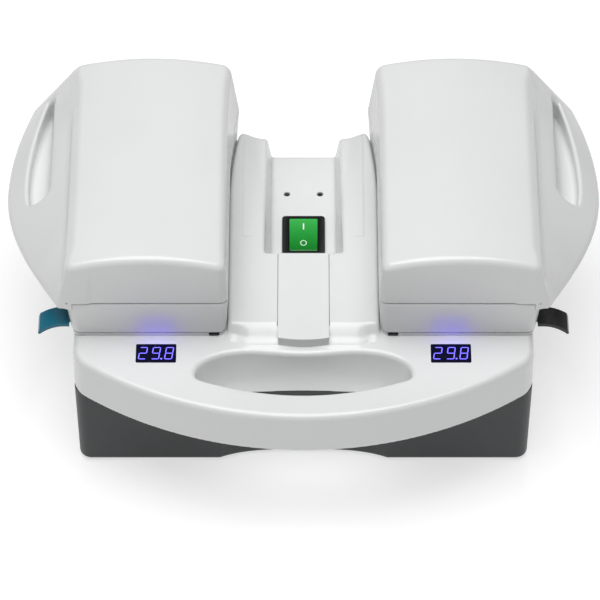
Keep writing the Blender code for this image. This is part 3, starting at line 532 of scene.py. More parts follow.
def soften(obj, width=0.4, angle=35, segments=3):
    """Smooth shading with narrow rounded edges, as a moulded or machined part has."""
    edge = obj.modifiers.new("edges", "BEVEL")
    edge.width = width * MM
    edge.segments = segments
    edge.limit_method = "ANGLE"
    edge.angle_limit = math.radians(angle)
    edge.harden_normals = True
    obj.data.shade_smooth()
    obj.data.set_sharp_from_angle(angle=math.radians(angle))
    return obj


# Distance fields: negative inside, in millimetres


def both(a, b, radius):
    """What lies in both, with the edge between them rounded."""
    wide = np.maximum(a + radius, 0)
    high = np.maximum(b + radius, 0)
    return np.minimum(np.maximum(a, b), -radius) + np.sqrt(wide * wide + high * high)


def either(a, b, radius):
    """What lies in one or the other, with the groove between them filled to a radius."""
    return -both(-a, -b, radius)


def smooth(t):
    t = np.clip(t, 0, 1)
    return t * t * (3 - 2 * t)


def outline_distance(points, x, y):
    """Distance to a closed outline in plan, exact near it and rough beyond 8 mm."""
    x, y = np.broadcast_arrays(x, y)
    p = np.array(points)
    low, high = p.min(0), p.max(0)
    gap_x = np.maximum(low[0] - x, x - high[0])
    gap_y = np.maximum(low[1] - y, y - high[1])
    result = np.maximum(np.maximum(gap_x, gap_y), 1.0)
    near = (gap_x < 8) & (gap_y < 8)
    px, py = x[near], y[near]
    best = np.full(px.shape, 1e9)
    inside = np.zeros(px.shape, bool)
    for (ax, ay), (bx, by) in zip(p, np.roll(p, -1, axis=0)):
        dx, dy = bx - ax, by - ay
        t = np.clip(((px - ax) * dx + (py - ay) * dy) / (dx * dx + dy * dy), 0, 1)
        best = np.minimum(best, (px - ax - t * dx) ** 2 + (py - ay - t * dy) ** 2)
        if dy:
            crossing = ((ay > py) != (by > py)) & (px < ax + dx * (py - ay) / dy)
            inside ^= crossing
    result[near] = np.sqrt(best) * np.where(inside, -1, 1)
    return result


def gradient(field, points):
    step = 0.04
    slopes = []
    for axis in range(3):
        ahead, behind = points.copy(), points.copy()
        ahead[:, axis] += step
        behind[:, axis] -= step
        slopes.append((field(*ahead.T) - field(*behind.T)) / (2 * step))
    return np.stack(slopes, 1)


def settle(field, points, rounds=2):
    """Moves points onto the field's surface."""
    for _ in range(rounds):
        slope = gradient(field, points)
        value = field(*points.T)
        size = np.maximum((slope * slope).sum(1), 0.2)
        move = np.clip(value / size, -0.5, 0.5)
        points = points - slope * move[:, None]
    return points


def surface(field, axes):
    """Points and quads where the field is zero, one point in each cell that the surface crosses."""
    x, y, z = axes
    values = np.broadcast_to(
        field(x[:, None, None], y[None, :, None], z[None, None, :]), (len(x), len(y), len(z))
    )
    inside = values < 0
    corners = [(c & 1, c >> 1 & 1, c >> 2) for c in range(8)]
    cells = tuple(n - 1 for n in inside.shape)
    full = np.zeros(cells, np.uint8)
    for offset in corners:
        full += inside[tuple(slice(o, o + n) for o, n in zip(offset, cells))]
    crossed = np.nonzero((full > 0) & (full < 8))
    number = np.full(cells, -1, np.int64)
    number[crossed] = np.arange(len(crossed[0]))

    total = np.zeros((len(crossed[0]), 3))
    hits = np.zeros(len(crossed[0]))
    for a in range(8):
        for b in (a | 1, a | 2, a | 4):
            if b == a:
                continue
            at_a = tuple(i + o for i, o in zip(crossed, corners[a]))
            at_b = tuple(i + o for i, o in zip(crossed, corners[b]))
            va, vb = values[at_a], values[at_b]
            change = (va < 0) != (vb < 0)
            share = np.where(change, va / np.where(change, va - vb, 1), 0)[:, None]
            pa = np.stack([x[at_a[0]], y[at_a[1]], z[at_a[2]]], 1)
            pb = np.stack([x[at_b[0]], y[at_b[1]], z[at_b[2]]], 1)
            total += (pa + share * (pb - pa)) * change[:, None]
            hits += change
    points = total / hits[:, None]

    quads = []
    for axis in range(3):
        u, v = (axis + 1) % 3, (axis + 2) % 3
        near, far = [slice(1, -1)] * 3, [slice(1, -1)] * 3
        near[axis], far[axis] = slice(0, -1), slice(1, None)
        start, end = inside[tuple(near)], inside[tuple(far)]
        found = np.nonzero(start != end)
        ring = []
        for du, dv in ((0, 0), (1, 0), (1, 1), (0, 1)):
            at = [None] * 3
            at[axis], at[u], at[v] = found[axis], found[u] + du, found[v] + dv
            ring.append(number[tuple(at)])
        ring = np.stack(ring, 1)
        turned = end[found]
        ring[turned] = ring[turned][:, ::-1]
        quads.append(ring)
    return points, np.concatenate(quads)


def shell(name, field, axes, finish, mirrored=False):
    """A mesh of the field's surface, shaded with the field's own normals."""
    points, quads = surface(field, axes)
    points = settle(field, points)
    normals = gradient(field, points)
    normals /= np.maximum(np.linalg.norm(normals, axis=1), 1e-6)[:, None]
    if mirrored:
        points[:, 0] *= -1
        normals[:, 0] *= -1
        quads = quads[:, ::-1]
    mesh = bpy.data.meshes.new(name)
    mesh.from_pydata(points * MM, [], quads)
    mesh.shade_smooth()
    mesh.normals_split_custom_set_from_vertices(normals)
    return show(name, mesh, finish)


def grid(low, high, step, fine=(), fine_step=0.5):
    """Sample places from low to high, closer together in the fine stretches."""
    places = set(np.round(np.arange(low, high + step, step), 4))
    for start, end in fine:
        places = {p for p in places if not start - 0.3 * step < p < end + 0.3 * step}
        places |= set(np.round(np.arange(start, end + fine_step / 2, fine_step), 4))
    return np.array(sorted(places))


# Cover


def cover_plan(x, y):
    """The bowed outline: an arc in front, square sides and back."""
    forward = np.maximum(BOW_CENTRE_Y - y, 0)
    bow = np.hypot(x, forward) - BOW_RADIUS
    front = both(bow, np.abs(x) - HALF_WIDTH, COVER_CORNER)
    return both(front, y - BACK, COVER_CORNER)


def handle_hole():
    """The hand hole: its front edge is an arc, its back edge has a shallow swell in the middle."""
    front = []
    for x in np.linspace(-HOLE_HALF, HOLE_HALF, 33):
        front.append((x, HOLE_CENTRE_Y - math.sqrt(HOLE_RADIUS**2 - x**2)))
    across, along = HOLE_END_X - HOLE_SHOULDER_X, HOLE_SHOULDER_Y - HOLE_END_Y
    quarter = arc(0, 0, 1, 0, math.pi / 2, 16)
    flank = [(HOLE_SHOULDER_X + across * x, HOLE_END_Y + along * y) for x, y in quarter]
    swell = []
    for x in np.linspace(HOLE_SHOULDER_X - 4, 0, 10):
        swell.append((x, HOLE_SHOULDER_Y - HOLE_SWELL * (1 + math.cos(math.pi * x / HOLE_SHOULDER_X))))
    right = [*HOLE_TIP, *flank, *swell]
    left = [(-x, y) for x, y in reversed(right[:-1])]
    return front + right + left


def flare(y):
    """How far a chamber's inner side leans towards the middle near the back."""
    return FLARE * np.maximum(0, (y - FLARE_START) / (BACK - FLARE_START)) ** 2


def deck_height(x, y):
    """The deck's top: a ramp up from the bridge, long beside the middle strip, and shoulders that fall away
    towards the trough at the back."""
    across = np.abs(x)
    legs = smooth((LEG_EDGE - across) / LEG_RUN)
    start = DECK_FRONT - DECK_RAMP - LEG_LENGTH * legs
    end = DECK_FRONT + 1.5
    climb = smooth((y - start) / (end - start))
    below = 4 * np.clip((start - y) / 4, 0, 1)
    fall = smooth((SHOULDER_EDGE - across) / SHOULDER_RUN)
    slope = SHOULDER_DROP * smooth((y - SHOULDER_FRONT) / SHOULDER_LENGTH) * fall
    channel = smooth((CHANNEL_OUTER - across) / 1.2) * smooth((across - CHANNEL_INNER) / 8)
    channel = channel * smooth((y - CHANNEL_FRONT) / 1.6)
    return BRIDGE_TOP + (DECK_TOP - BRIDGE_TOP) * climb - below - slope - CHANNEL_DEPTH * channel


def trough(x, y, z):
    """The hollow in which the switch sits, with drafted sides and a sloping front."""
    lift = (z - TROUGH_FLOOR) / (DECK_TOP - TROUGH_FLOOR)
    depth = DECK_TOP - TROUGH_FLOOR
    sides = (np.abs(x) - TROUGH_HALF - TROUGH_DRAFT * lift) / math.hypot(1, TROUGH_DRAFT / depth)
    front = (TROUGH_FRONT + TROUGH_FRONT_RUN * (1 - lift) - y) / math.hypot(1, TROUGH_FRONT_RUN / depth)
    return both(both(sides, front, 1.5), TROUGH_FLOOR - z, 1.4)


def slab(value, low, high):
    """Field of what lies between two limits."""
    return np.maximum(low - value, value - high)


hole_outline = handle_hole()


def cover_field(x, y, z):
    """The cover as a thin shell with its openings."""
    band = both(cover_plan(x, y), z - BRIDGE_TOP, BOW_EDGE)
    sides = np.maximum(np.abs(x) - (POD_INNER + 0.7 - flare(y)), DECK_FRONT - DECK_RAMP - 10 - y)
    deck = both(both(sides, z - deck_height(x, y), 3.0), y - BACK, 5.0)
    body = either(band, deck, 2.5)
    body = both(body, -trough(x, y, z), TROUGH_EDGE)
    draft = HOLE_DRAFT * (1 + smooth(np.abs(x) / HOLE_SHOULDER_X))
    hole = outline_distance(hole_outline, x, y) + draft * (BRIDGE_TOP - z)
    body = both(body, -hole, HOLE_EDGE)
    made = both(body, -(body + WALL), 0.1)
    made = both(made, COVER_BOTTOM - z, 0.7)
    across = np.abs(x)
    outlet_x = slab(across, POD_X - OUTLET_HALF[0], POD_X + OUTLET_HALF[0])
    outlet = np.maximum(outlet_x, slab(y, POD_Y - OUTLET_HALF[1], POD_Y + OUTLET_HALF[1]))
    outlet = np.maximum(outlet, OUTLET_BOTTOM - z)
    window_x = slab(across, display_low.x + LEDGE, display_high.x - LEDGE)
    window = np.maximum(window_x, slab(y, display_low.y + LEDGE, display_high.y - LEDGE))
    switch = np.maximum(across - SWITCH_HALF, slab(y, bezel_low.y + BEZEL_LEDGE, bezel_high.y - BEZEL_LEDGE))
    groove_x = slab(across, -1, strip_high.x + STRIP_GAP)
    groove = np.maximum(groove_x, slab(y, strip_low.y - 9, strip_high.y + 0.4))
    groove = np.maximum(groove, strip_high.z - STRIP_BED - z)
    screw = np.hypot(across - SCREW_X, y - SCREW_Y) - SCREW_HOLE
    for opening, radius in ((outlet, 0.5), (window, 0.3), (switch, 0.3), (groove, 0.35), (screw, 0.6)):
        made = both(made, -opening, radius)
    return made


def make_cover(finishes):
    strip_edge = strip_high.x + STRIP_GAP
    fine_x = [(SCREW_X - 3, SCREW_X + 3), (strip_edge - 1, strip_edge + 1)]
    fine_x += [(-b, -a) for a, b in fine_x]
    xs = grid(-HALF_WIDTH - 2.1, HALF_WIDTH + 2.1, CELL, fine_x)
    ys = grid(cover_low.y - 2.1, BACK + 2.1, CELL, [(SCREW_Y - 3, SCREW_Y + 3)])
    zs = grid(COVER_BOTTOM - 1.5, DECK_TOP + 2, 1.0, [(COVER_BOTTOM - 1, COVER_BOTTOM + 1.5)])
    cover = shell("cover_shell", cover_field, (xs, ys, zs), finishes["white"])
    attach(cover, "base")
    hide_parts("top_cover")


# Lids


def ear(y):
    """How far the wing stands out of the lid's outer wall."""
    part = np.clip((y - POD_FRONT) / (EAR_PEAK_Y - POD_FRONT), -0.05, 1)
    front = EAR_FRONT + (EAR_PEAK - EAR_FRONT) * np.sin(np.pi / 2 * part)
    back = EAR_PEAK - EAR_BACK_DROP * ((y - EAR_PEAK_Y) / (BACK - EAR_PEAK_Y)) ** 2
    return np.where(y < EAR_PEAK_Y, front, back)


def lid_edge(y):
    """Height of the lid's top along its sides."""
    return LID_FRONT_EDGE + (LID_BACK_EDGE - LID_FRONT_EDGE) * (y - POD_FRONT) / (BACK - POD_FRONT)


def lid_body(x, y, z):
    """The lid's box without a floor: drafted sides, crowned top."""
    lift = np.clip((z - LID_BOTTOM) / LID_LIFT, 0, 1.2)
    inner = POD_INNER - flare(y) * (1 - 0.6 * lift)
    sides = both(inner + LID_INNER_DRAFT * lift - x, x - POD_OUTER + LID_OUTER_DRAFT * lift, POD_CORNER)
    ends = np.maximum(POD_FRONT - y, y - BACK)
    plan = both(sides, ends, POD_CORNER)
    across = 2 * (x - inner) / (POD_OUTER - inner) - 1
    top = z - lid_edge(y) - LID_CROWN * (1 - across**2)
    outer_share = smooth((x - POD_OUTER + 32) / 26)
    end_share = np.maximum(smooth((POD_FRONT + 20 - y) / 16), smooth((y - BACK + 18) / 14))
    along = LID_EDGE_INNER + (LID_EDGE_OUTER - LID_EDGE_INNER) * outer_share
    radius = along * (1 - end_share) + LID_EDGE_ENDS * end_share
    return both(plan, top, radius)


def lid_wing(x, y, z):
    """The wing that stands out of the lid's outer wall, without the finger pocket."""
    reach = ear(y)
    hang = ear_bottom(y)
    high = lid_edge(y) - WING_DROP + WING_RISE * smooth((y - WING_RISE_START) / WING_RISE_RUN)
    slope = (high - hang - 3) / reach
    top = (z - high + slope * np.maximum(x - POD_OUTER, 0)) / np.sqrt(1 + slope**2)
    rim = (x - POD_OUTER - reach) / 1.2
    wing = np.maximum(both(both(top, rim, 1.6), hang - z, 1.2), POD_OUTER - WING_DEPTH - x)
    return both(wing, np.maximum(POD_FRONT + WING_FRONT_INSET - y, y - BACK), 2.0)


def ear_bottom(y):
    """Height of the wing's lower edge, which curls up towards the front."""
    return EAR_BOTTOM + EAR_CURL * (1 - smooth((y - POD_FRONT) / EAR_CURL_RUN))


def pocket_outline():
    """Plan of the finger pocket on the right, following the wing's rim."""
    outer = []
    for y in np.linspace(POCKET_FRONT + 4, POCKET_BACK - 4, 24):
        outer.append((POD_OUTER + float(ear(y)) - POCKET_LIP, y, 0))
    far = [(POD_OUTER + float(ear(POCKET_BACK)) - POCKET_LIP, POCKET_BACK, 1.5)]
    near = [(POD_OUTER + float(ear(POCKET_FRONT)) - POCKET_LIP, POCKET_FRONT, 3)]
    inner = [(POCKET_INNER, POCKET_BACK, 1.5), (POCKET_INNER, POCKET_FRONT, 8)]
    return rounded([*near, *outer, *far, *inner], 6)


pocket_plan = pocket_outline()


def lid_field(x, y, z):
    """The lid as a thin shell: its box, its wing with the pocket, and room for the chamber and the hinge."""
    body = lid_body(x, y, z)
    whole = either(body, lid_wing(x, y, z), 3.0)
    into_corner = np.maximum(POD_FRONT + POD_CORNER - y, 0)
    corner = POD_CORNER - np.sqrt(np.maximum(POD_CORNER**2 - into_corner**2, 0))
    skirt = np.minimum(POD_OUTER + 1 - corner, POD_OUTER + ear(y) - SKIRT_THICKNESS + 100 * (y < 0))
    under = np.minimum(LID_BOTTOM - z, np.maximum(skirt - x, ear_bottom(y) - z))
    whole = both(whole, under, 0.8)
    side = outline_distance(pocket_plan, x, y) + POCKET_DRAFT * (POCKET_MIDDLE_Z - z) - POCKET_MARGIN
    whole = both(whole, -both(side, POCKET_FLOOR - z, 3.0), 3.0)
    whole = both(whole, KNUCKLE_RADIUS + KNUCKLE_GAP - np.hypot(y - HINGE_Y, z - HINGE_Z), 0.3)
    return both(whole, -(body + WALL), 0.8)


def make_lid(name, side, finishes):
    xs = grid(POD_INNER - FLARE - 2, POD_OUTER + EAR_PEAK + 2, 1.0)
    ys = grid(POD_FRONT - 2, BACK + 2, 1.0)
    zs = grid(EAR_BOTTOM - 2, LID_BACK_EDGE + LID_CROWN + 2, 1.0, [(LID_BOTTOM - 1, LID_BOTTOM + 1)])
    lid = shell(f"lid_shell_{name}", lid_field, (xs, ys, zs), finishes["white"], side == LEFT)
    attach(lid, f"lid_{name}")
    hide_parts(f"lid_{name}")


# Tubs


def pod_outline(z, offset=0.0, steps=8):
    """Plan of a chamber on the right, at this height."""
    low = (TUB_TOP - z) / (TUB_TOP - TUB_BOTTOM)
    outer = POD_OUTER - TUB_OUTER_DRAFT * low - offset
    inner = POD_INNER + TUB_INNER_DRAFT * low + offset
    front, back = POD_FRONT + offset, BACK - offset
    radius = max(1.5, POD_CORNER - offset)
    side = [(inner, y, 0) for y in np.linspace(100, FLARE_START, 12)]
    corners = [(x, y, radius) for x, y in ((inner, front), (outer, front), (outer, back), (inner, back))]
    points = rounded([*corners, *side], steps)
    return [(x - float(flare(y)) * (outer - x) / (outer - inner), y) for x, y in points]


def rounding(radius, z, offset, up, outwards):
    """Heights and offsets along a quarter round at one edge of a profile."""
    points = []
    for k in range(7):
        a = math.pi / 2 * k / 6
        if outwards:
            points.append((z - up * radius * (1 - math.sin(a)), offset + radius * (1 - math.cos(a))))
        else:
            points.append((z - up * radius * (1 - math.cos(a)), offset - radius * (1 - math.sin(a))))
    return points


def make_tub(name, side, finishes):
    """A chamber's tub with the opening for the air outlet and the window of the latch."""
    floor = TUB_BOTTOM + WALL
    profile = rounding(TUB_EDGE, TUB_BOTTOM, 0, -1, True)[::-1]
    profile += rounding(TUB_RIM_OUTER, TUB_TOP, 0, 1, True)
    profile += rounding(TUB_RIM_INNER, TUB_TOP, WALL, 1, False)
    profile += rounding(TUB_FILLET, floor, WALL, -1, True)
    rings = [flip(level(pod_outline(z, d), z), side) for z, d in profile]
    tub = loft(f"tub_shell_{name}", rings, finishes["satin"])
    x = side * POD_X
    across, along = TUB_OUTLET_HALF
    opening = (x - across, x + across), (POD_Y - along, POD_Y + along), (BRIDGE_TOP, floor + 3)
    cut(tub, block("opening", *opening))
    pin_ends = span(f"latch_pin_{name}")
    latch_z = (pin_ends[0].z + pin_ends[1].z) / 2
    window = rectangle(*LATCH_WINDOW_Y, latch_z - LATCH_WINDOW_HALF, latch_z + LATCH_WINDOW_HALF, 0.4, 4)
    cut(tub, loft("window", [[(side * reach, y, z) for y, z in window] for reach in LATCH_WINDOW_X]))
    tub.data.shade_smooth()
    tub.data.set_sharp_from_angle(angle=math.radians(40))
    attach(tub, "base")
    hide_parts(f"pod_tub_{name}")


def make_plinth(name, side, finishes):
    """The low foot under a tub, open under its floor, and the rubber pad let into its inner front corner."""
    foot = [(side * a, b) for a, b in pod_outline(TUB_BOTTOM, PLINTH_INSET)]
    plinth = prism(f"tub_plinth_{name}", foot, BRIDGE_TOP + 0.3, TUB_BOTTOM + 0.2, finishes["satin"])
    x = side * POD_X
    for margin, top in ((PLINTH_RELIEF, TUB_BOTTOM - 0.3), (0, TUB_BOTTOM + 1)):
        across, along = TUB_OUTLET_HALF[0] + margin, TUB_OUTLET_HALF[1] + margin
        seat = (x - across, x + across), (POD_Y - along, POD_Y + along), (BRIDGE_TOP - 1, top)
        cut(plinth, block("seat", *seat))
    low, high = span(f"chamber_pad_{name}")
    left, right = sorted(side * a for a in PAD_X)
    cut(plinth, block("recess", (left - 0.3, right + 0.3), (low.y, high.y + 0.3), (80, 100)))
    pad = block(f"pad_{name}", (left, right), (PAD_FRONT, high.y), (low.z, high.z), finishes["black"])
    soften(pad, 0.25)
    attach(pad, "base")
    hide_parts(f"chamber_pad_{name}")
    soften(plinth, 0.15)
    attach(plinth, "base")


def make_knuckles(name, side, finishes):
    """The hinge knuckles of a chamber and of its lid, each on a web that stands on the wall behind it."""
    x = side * POD_X
    for word, body, ends, low, high in (
        ("tub", "base", TUB_KNUCKLE, TUB_TOP - 7, TUB_TOP - 0.5),
        ("lid", f"lid_{name}", LID_KNUCKLE, LID_BOTTOM + 0.2, LID_BOTTOM + 2.5),
    ):
        for number, end in ((1, -1), (2, 1)):
            left, right = sorted((x + end * ends[0], x + end * ends[1]))
            along = (left, HINGE_Y, HINGE_Z), (right, HINGE_Y, HINGE_Z)
            knuckle = rod(f"{word}_knuckle_{number}_{name}", *along, KNUCKLE_RADIUS, finishes["satin"])
            join(knuckle, block("web", (left, right), (BACK - WEB_INTO_WALL, HINGE_Y), (low, high)))
            bore = rod("bore", (left - 1, HINGE_Y, HINGE_Z), (right + 1, HINGE_Y, HINGE_Z), KNUCKLE_BORE)
            soften(cut(knuckle, bore), 0.3)
            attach(knuckle, body)


# Switch and displays


def make_rocker(finishes):
    """The rocker with its hollowed press faces, tilted as it rests, and its two marks."""
    low, high = rocker_low, rocker_high
    pivot = Vector((0, (low.y + high.y) / 2, TROUGH_FLOOR - 1))
    profile = [(-ROCKER_HALF, ROCKER_FOOT), (ROCKER_HALF, ROCKER_FOOT)]
    for f in np.linspace(1, -1, 41):
        profile.append((ROCKER_HALF * f, rocker_face(ROCKER_HALF * f)))
    turn = Matrix.Rotation(ROCKER_TILT, 2)
    tilted = [turn @ Vector(p) for p in profile]
    rings = [[(x, pivot.y + p.x, pivot.z + p.y) for p in tilted] for x in (low.x, high.x)]
    rocker = loft("rocker_shell", rings, rocker_painted_shade_finish())
    soften(rocker, 0.5, 40)
    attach(rocker, "rocker")
    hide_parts("switch_rocker")
    bar = rectangle(-BAR_HALF[0], BAR_HALF[0], -BAR_HALF[1], BAR_HALF[1], 0.2, 3)
    ring = [(x, RING_STRETCH * y) for x, y in arc(0, 0, RING_RADIUS, 0, 2 * math.pi, 48)[:-1]]
    for word, outline, middle in (("on", bar, 6.4), ("off", ring, -6.2)):
        mark = prism(f"mark_{word}", outline, MARK_LOW, MARK_HIGH, finishes["mark"])
        if word == "off":
            cut(mark, prism("hole", inset(ring, RING_WIDTH), -1, 1))
        place = turn @ Vector((middle, rocker_face(middle)))
        shift = Matrix.Translation(Vector((0, pivot.y + place.x, pivot.z + place.y)) * MM)
        mark.data.transform(shift @ Matrix.Rotation(rocker_lean(middle) + ROCKER_TILT, 4, "X"))
        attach(mark, "rocker")


def rocker_face(reach):
    """Height of the rocker's hollowed top at this distance from its pivot."""
    return ROCKER_MIDDLE + ROCKER_HOLLOW * abs(reach / ROCKER_HALF) ** ROCKER_CURVE


def rocker_lean(reach):
    """Angle of the rocker's hollowed top at this distance from its pivot."""
    rise = ROCKER_HOLLOW * ROCKER_CURVE * abs(reach / ROCKER_HALF) ** (ROCKER_CURVE - 1) / ROCKER_HALF
    return math.copysign(math.atan(rise), reach)


DIGITS = {"2": "abged", "9": "abcdfg", "8": "abcdefg"}
SEGMENTS = {
    "a": (0, 1, 0), "b": (1, 0.5, 1), "c": (1, -0.5, 1), "d": (0, -1, 0),
    "e": (-1, -0.5, 1), "f": (-1, 0.5, 1), "g": (0, 0, 0),
}


def figure_shapes(middle):
    """Outlines of all lit segments and the point, round the middle of a window."""
    across, along = (FIGURE_WIDTH - FIGURE_BAR) / 2, (FIGURE_HEIGHT - FIGURE_BAR) / 2
    tip = FIGURE_BAR / 2
    shapes = []
    for place, figure in enumerate(READING):
        centre = middle.x + (place - 1) * FIGURE_PITCH
        for letter in DIGITS[figure]:
            u, v, upright = SEGMENTS[letter]
            x, y = centre + u * across, middle.y + v * along
            length = along / 2 - 0.35 if upright else across - 0.3
            point = length + tip * 0.7
            shape = [(-length, -tip), (length, -tip), (point, 0), (length, tip), (-length, tip), (-point, 0)]
            if upright:
                shape = [(-b, a) for a, b in shape]
            shapes.append([(x + a + FIGURE_LEAN * (y + b - middle.y), y + b) for a, b in shape])
    point_x, point_y = middle.x + POINT_X, middle.y - FIGURE_HEIGHT / 2 + POINT_RISE
    shapes.append([(point_x + a, point_y + b) for a, b in arc(0, 0, POINT_RADIUS, 0, 2 * math.pi, 12)[:-1]])
    return shapes


def make_display(name, finishes):
    """A dark window with a reading in seven-segment digits."""
    low, high = span(f"display_{name}")
    outline = rectangle(low.x, high.x, low.y, high.y, 0.8, 4)
    window = prism(f"display_window_{name}", outline, high.z - 3, high.z, finishes["window"])
    soften(window, 0.15)
    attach(window, "base")
    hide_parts(f"display_{name}")
    points, faces = [], []
    for shape in figure_shapes((low + high) / 2):
        base, count = len(points), len(shape)
        points += level(shape, high.z - 0.05) + level(shape, high.z + 0.04)
        faces.append(tuple(base + i for i in reversed(range(count))))
        faces.append(tuple(base + count + i for i in range(count)))
        for i in range(count):
            after = (i + 1) % count
            faces.append((base + i, base + after, base + count + after, base + count + i))
    digits = solid(f"display_digits_{name}", points, faces, finishes["digits"])
    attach(digits, "base")


# Tray


def tray_outline(z, offset=0.0):
    """Plan of the tray, with the shallow recess that gives the fingers room under the handle."""
    drop = TRAY_DRAFT * (1 - (z - tray_low.z) / (tray_high.z - tray_low.z))
    half, front = tray_high.x - drop, TRAY_FRONT + drop
    recess = []
    for x in np.linspace(-RECESS_HALF, RECESS_HALF, 61):
        recess.append((x, front + RECESS_DEPTH * (1 - abs(x / RECESS_HALF) ** RECESS_POWER), 0))
    left, right = (-half, front, TRAY_CORNER), (half, front, TRAY_CORNER)
    back = [(half, BACK, TRAY_CORNER), (-half, BACK, TRAY_CORNER)]
    return inset(rounded([left, *recess, right, *back]), offset)


def make_tray(finishes):
    """The tray as an open box with intake slots, vents, the inlet's opening and the screws' bores."""
    low, top = tray_low.z, tray_high.z
    floor = low + WALL
    profile = rounding(TRAY_EDGE, low, 0, -1, True)[::-1]
    profile += [(top - 0.6, 0), (top, 0.5)]
    tray = loft("tray_shell", [level(tray_outline(z, d), z) for z, d in profile], finishes["grey"])
    cut(tray, loft("hollow", [level(tray_outline(z, WALL), z) for z in (floor, top + 1)]))
    slots = []
    for side in SIDES.values():
        left, right = side * POD_X - INTAKE_HALF[0], side * POD_X + INTAKE_HALF[0]
        for k in range(-3, 4):
            y = POD_Y + INTAKE_PITCH * k
            outline = rectangle(left, right, y - INTAKE_HALF[1], y + INTAKE_HALF[1], SLOT_ROUND, 4)
            slots.append(prism("slot", outline, low - 1, floor + 1))
    wall = (BACK - WALL - 1, BACK + 1)
    for k in range(VENT_COUNT):
        x = VENT_START + VENT_PITCH * k
        outline = rectangle(x, x + VENT_WIDTH, *VENT_HEIGHT, SLOT_ROUND, 4)
        slots.append(loft("vent", [[(a, y, b) for a, b in outline] for y in wall]))
    inlet_low, inlet_high = span("power_inlet")
    inlet_x, inlet_z = (inlet_low.x + 2.7, inlet_high.x - 2.7), (inlet_low.z + 2.2, inlet_high.z - 2.2)
    cut(tray, *slots, block("inlet", inlet_x, wall, inlet_z))
    for word in ("front_left", "front_right", "rear_left", "rear_right"):
        a, b = span(f"case_screw_{word}")
        x, y = (a.x + b.x) / 2, (a.y + b.y) / 2
        cut(tray, rod("bore", (x, y, 0), (x, y, floor + 1), CASE_SCREW_BORE))
    tray.data.shade_smooth()
    tray.data.set_sharp_from_angle(angle=math.radians(40))
    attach(tray, "base")
    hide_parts("base_tray")


# CAD nodes that show as they are


def dress(finishes):
    """Finishes for the CAD nodes that keep their own shape."""
    rules = (
        (("centre_cover",), "white", 0.5),
        (("latch_lever_left",), "blue", 0.45),
        (("latch_lever_right", "switch_bezel", "power_inlet"), "black", 0.45),
        (("outlet_grille", "duct", "fan_frame", "fan_rotor"), "black", 0.3),
        (("hinge_pin", "latch_pin", "case_screw", "inlet_contact", "temperature_probe"), "steel", 0.25),
        (("trough_screw",), "black", 0.2),
        (("latch_spring",), "steel", 0.0),
        (("heater", "power_supply"), "aluminium", 0.3),
        (("control_board", "display_board"), "board", 0.2),
        (("foot", "lid_gasket"), "rubber", 0.3),
        (("intake_filter",), "foam", 0.5),
    )
    for node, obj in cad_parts.items():
        for words, finish, width in rules:
            if node.startswith(words):
                obj.data.materials.clear()
                obj.data.materials.append(finishes[finish])
                if width:
                    soften(obj, width)


# Stage


def area_lamp(name, place, size, power, turn, colour=(1, 1, 1)):
    light = bpy.data.lights.new(name, "AREA")
    light.shape = "RECTANGLE"
    light.size, light.size_y = size
    light.energy = power
    light.color = colour
    lamp = bpy.data.objects.new(name, light)
    lamp.location = place
    lamp.rotation_euler = turn
    bpy.context.scene.collection.objects.link(lamp)


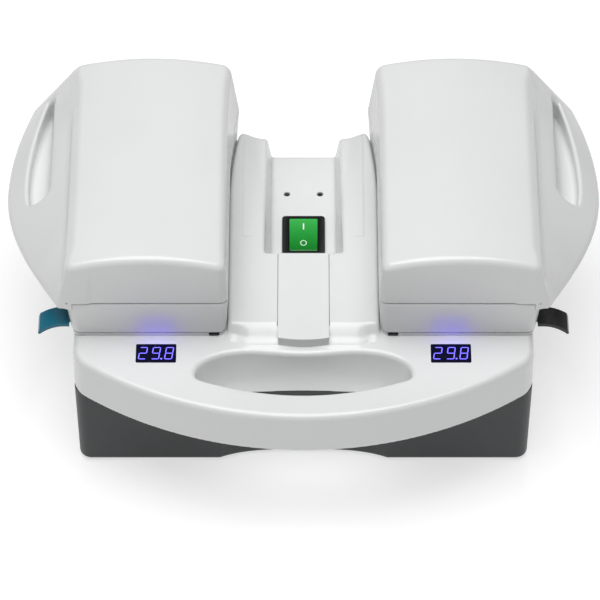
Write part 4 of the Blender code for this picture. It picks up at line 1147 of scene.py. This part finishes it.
def make_table():
    """A pale glossy table that fades into white."""
    made, tree, shader, node = shader_of("table", (0.5, 0.5, 0.5), 0.12)
    place = node("ShaderNodeTexCoord").outputs["Object"]
    soft = node("ShaderNodeTexNoise", {"Vector": place, "Scale": 3.0})
    gloss = node("ShaderNodeMapRange", {"Value": soft.outputs["Fac"], "To Min": 0.1, "To Max": 0.14})
    tree.links.new(gloss.outputs["Result"], shader.inputs["Roughness"])
    shader.inputs["Emission Color"].default_value = (1, 1, 1, 1)
    shader.inputs["Emission Strength"].default_value = TABLE_GLOW
    corners = [(x * TABLE_HALF, y * TABLE_HALF, 0) for x, y in ((-1, -1), (1, -1), (1, 1), (-1, 1))]
    mesh = bpy.data.meshes.new("table")
    mesh.from_pydata(corners, [], [(0, 1, 2, 3)])
    show("table", mesh, made)


def make_light():
    """Soft light from above, and the displays' own violet light on the chambers' fronts."""
    world = bpy.data.worlds.new("studio")
    world.use_nodes = True
    world.node_tree.nodes["Background"].inputs["Color"].default_value = (1, 1, 1, 1)
    world.node_tree.nodes["Background"].inputs["Strength"].default_value = SKY_STRENGTH
    bpy.context.scene.world = world
    turn = (Vector(LAMP_PLACE) - Vector(LAMP_TARGET)).to_track_quat("Z", "Y").to_euler()
    area_lamp("top", LAMP_PLACE, (LAMP_SIZE, LAMP_SIZE), LAMP_POWER, turn)
    for name in SIDES:
        low, high = span(f"display_{name}")
        middle = (low + high) / 2
        place = Vector((middle.x, middle.y + 4, high.z + 3)) * MM
        turn = (math.radians(100), 0, 0)
        area_lamp(f"display_light_{name}", place, GLOW_SIZE, GLOW_POWER, turn, GLOW_COLOUR)


def make_camera():
    """The photograph's view, from in front and well above."""
    data = bpy.data.cameras.new("camera")
    data.lens, data.sensor_width = CAMERA_LENS, CAMERA_SENSOR
    data.clip_start, data.clip_end = 0.1, 30.0
    camera = bpy.data.objects.new("camera", data)
    elevation = math.radians(CAMERA_ELEVATION)
    away = Vector((0, -math.cos(elevation), math.sin(elevation)))
    camera.location = Vector(CAMERA_TARGET) + CAMERA_DISTANCE * away
    camera.rotation_euler = (math.pi / 2 - elevation, 0, 0)
    data.shift_x, data.shift_y = (pixels / PICTURE_SIDE for pixels in CAMERA_SHIFT)
    bpy.context.scene.collection.objects.link(camera)
    bpy.context.scene.camera = camera
    bpy.context.scene.view_settings.view_transform = "Standard"


finishes = make_finishes()
make_table()
make_light()
make_camera()
make_cover(finishes)
make_tray(finishes)
make_rocker(finishes)
for name, side in SIDES.items():
    make_tub(name, side, finishes)
    make_plinth(name, side, finishes)
    make_knuckles(name, side, finishes)
    make_lid(name, side, finishes)
    make_display(name, finishes)
dress(finishes)
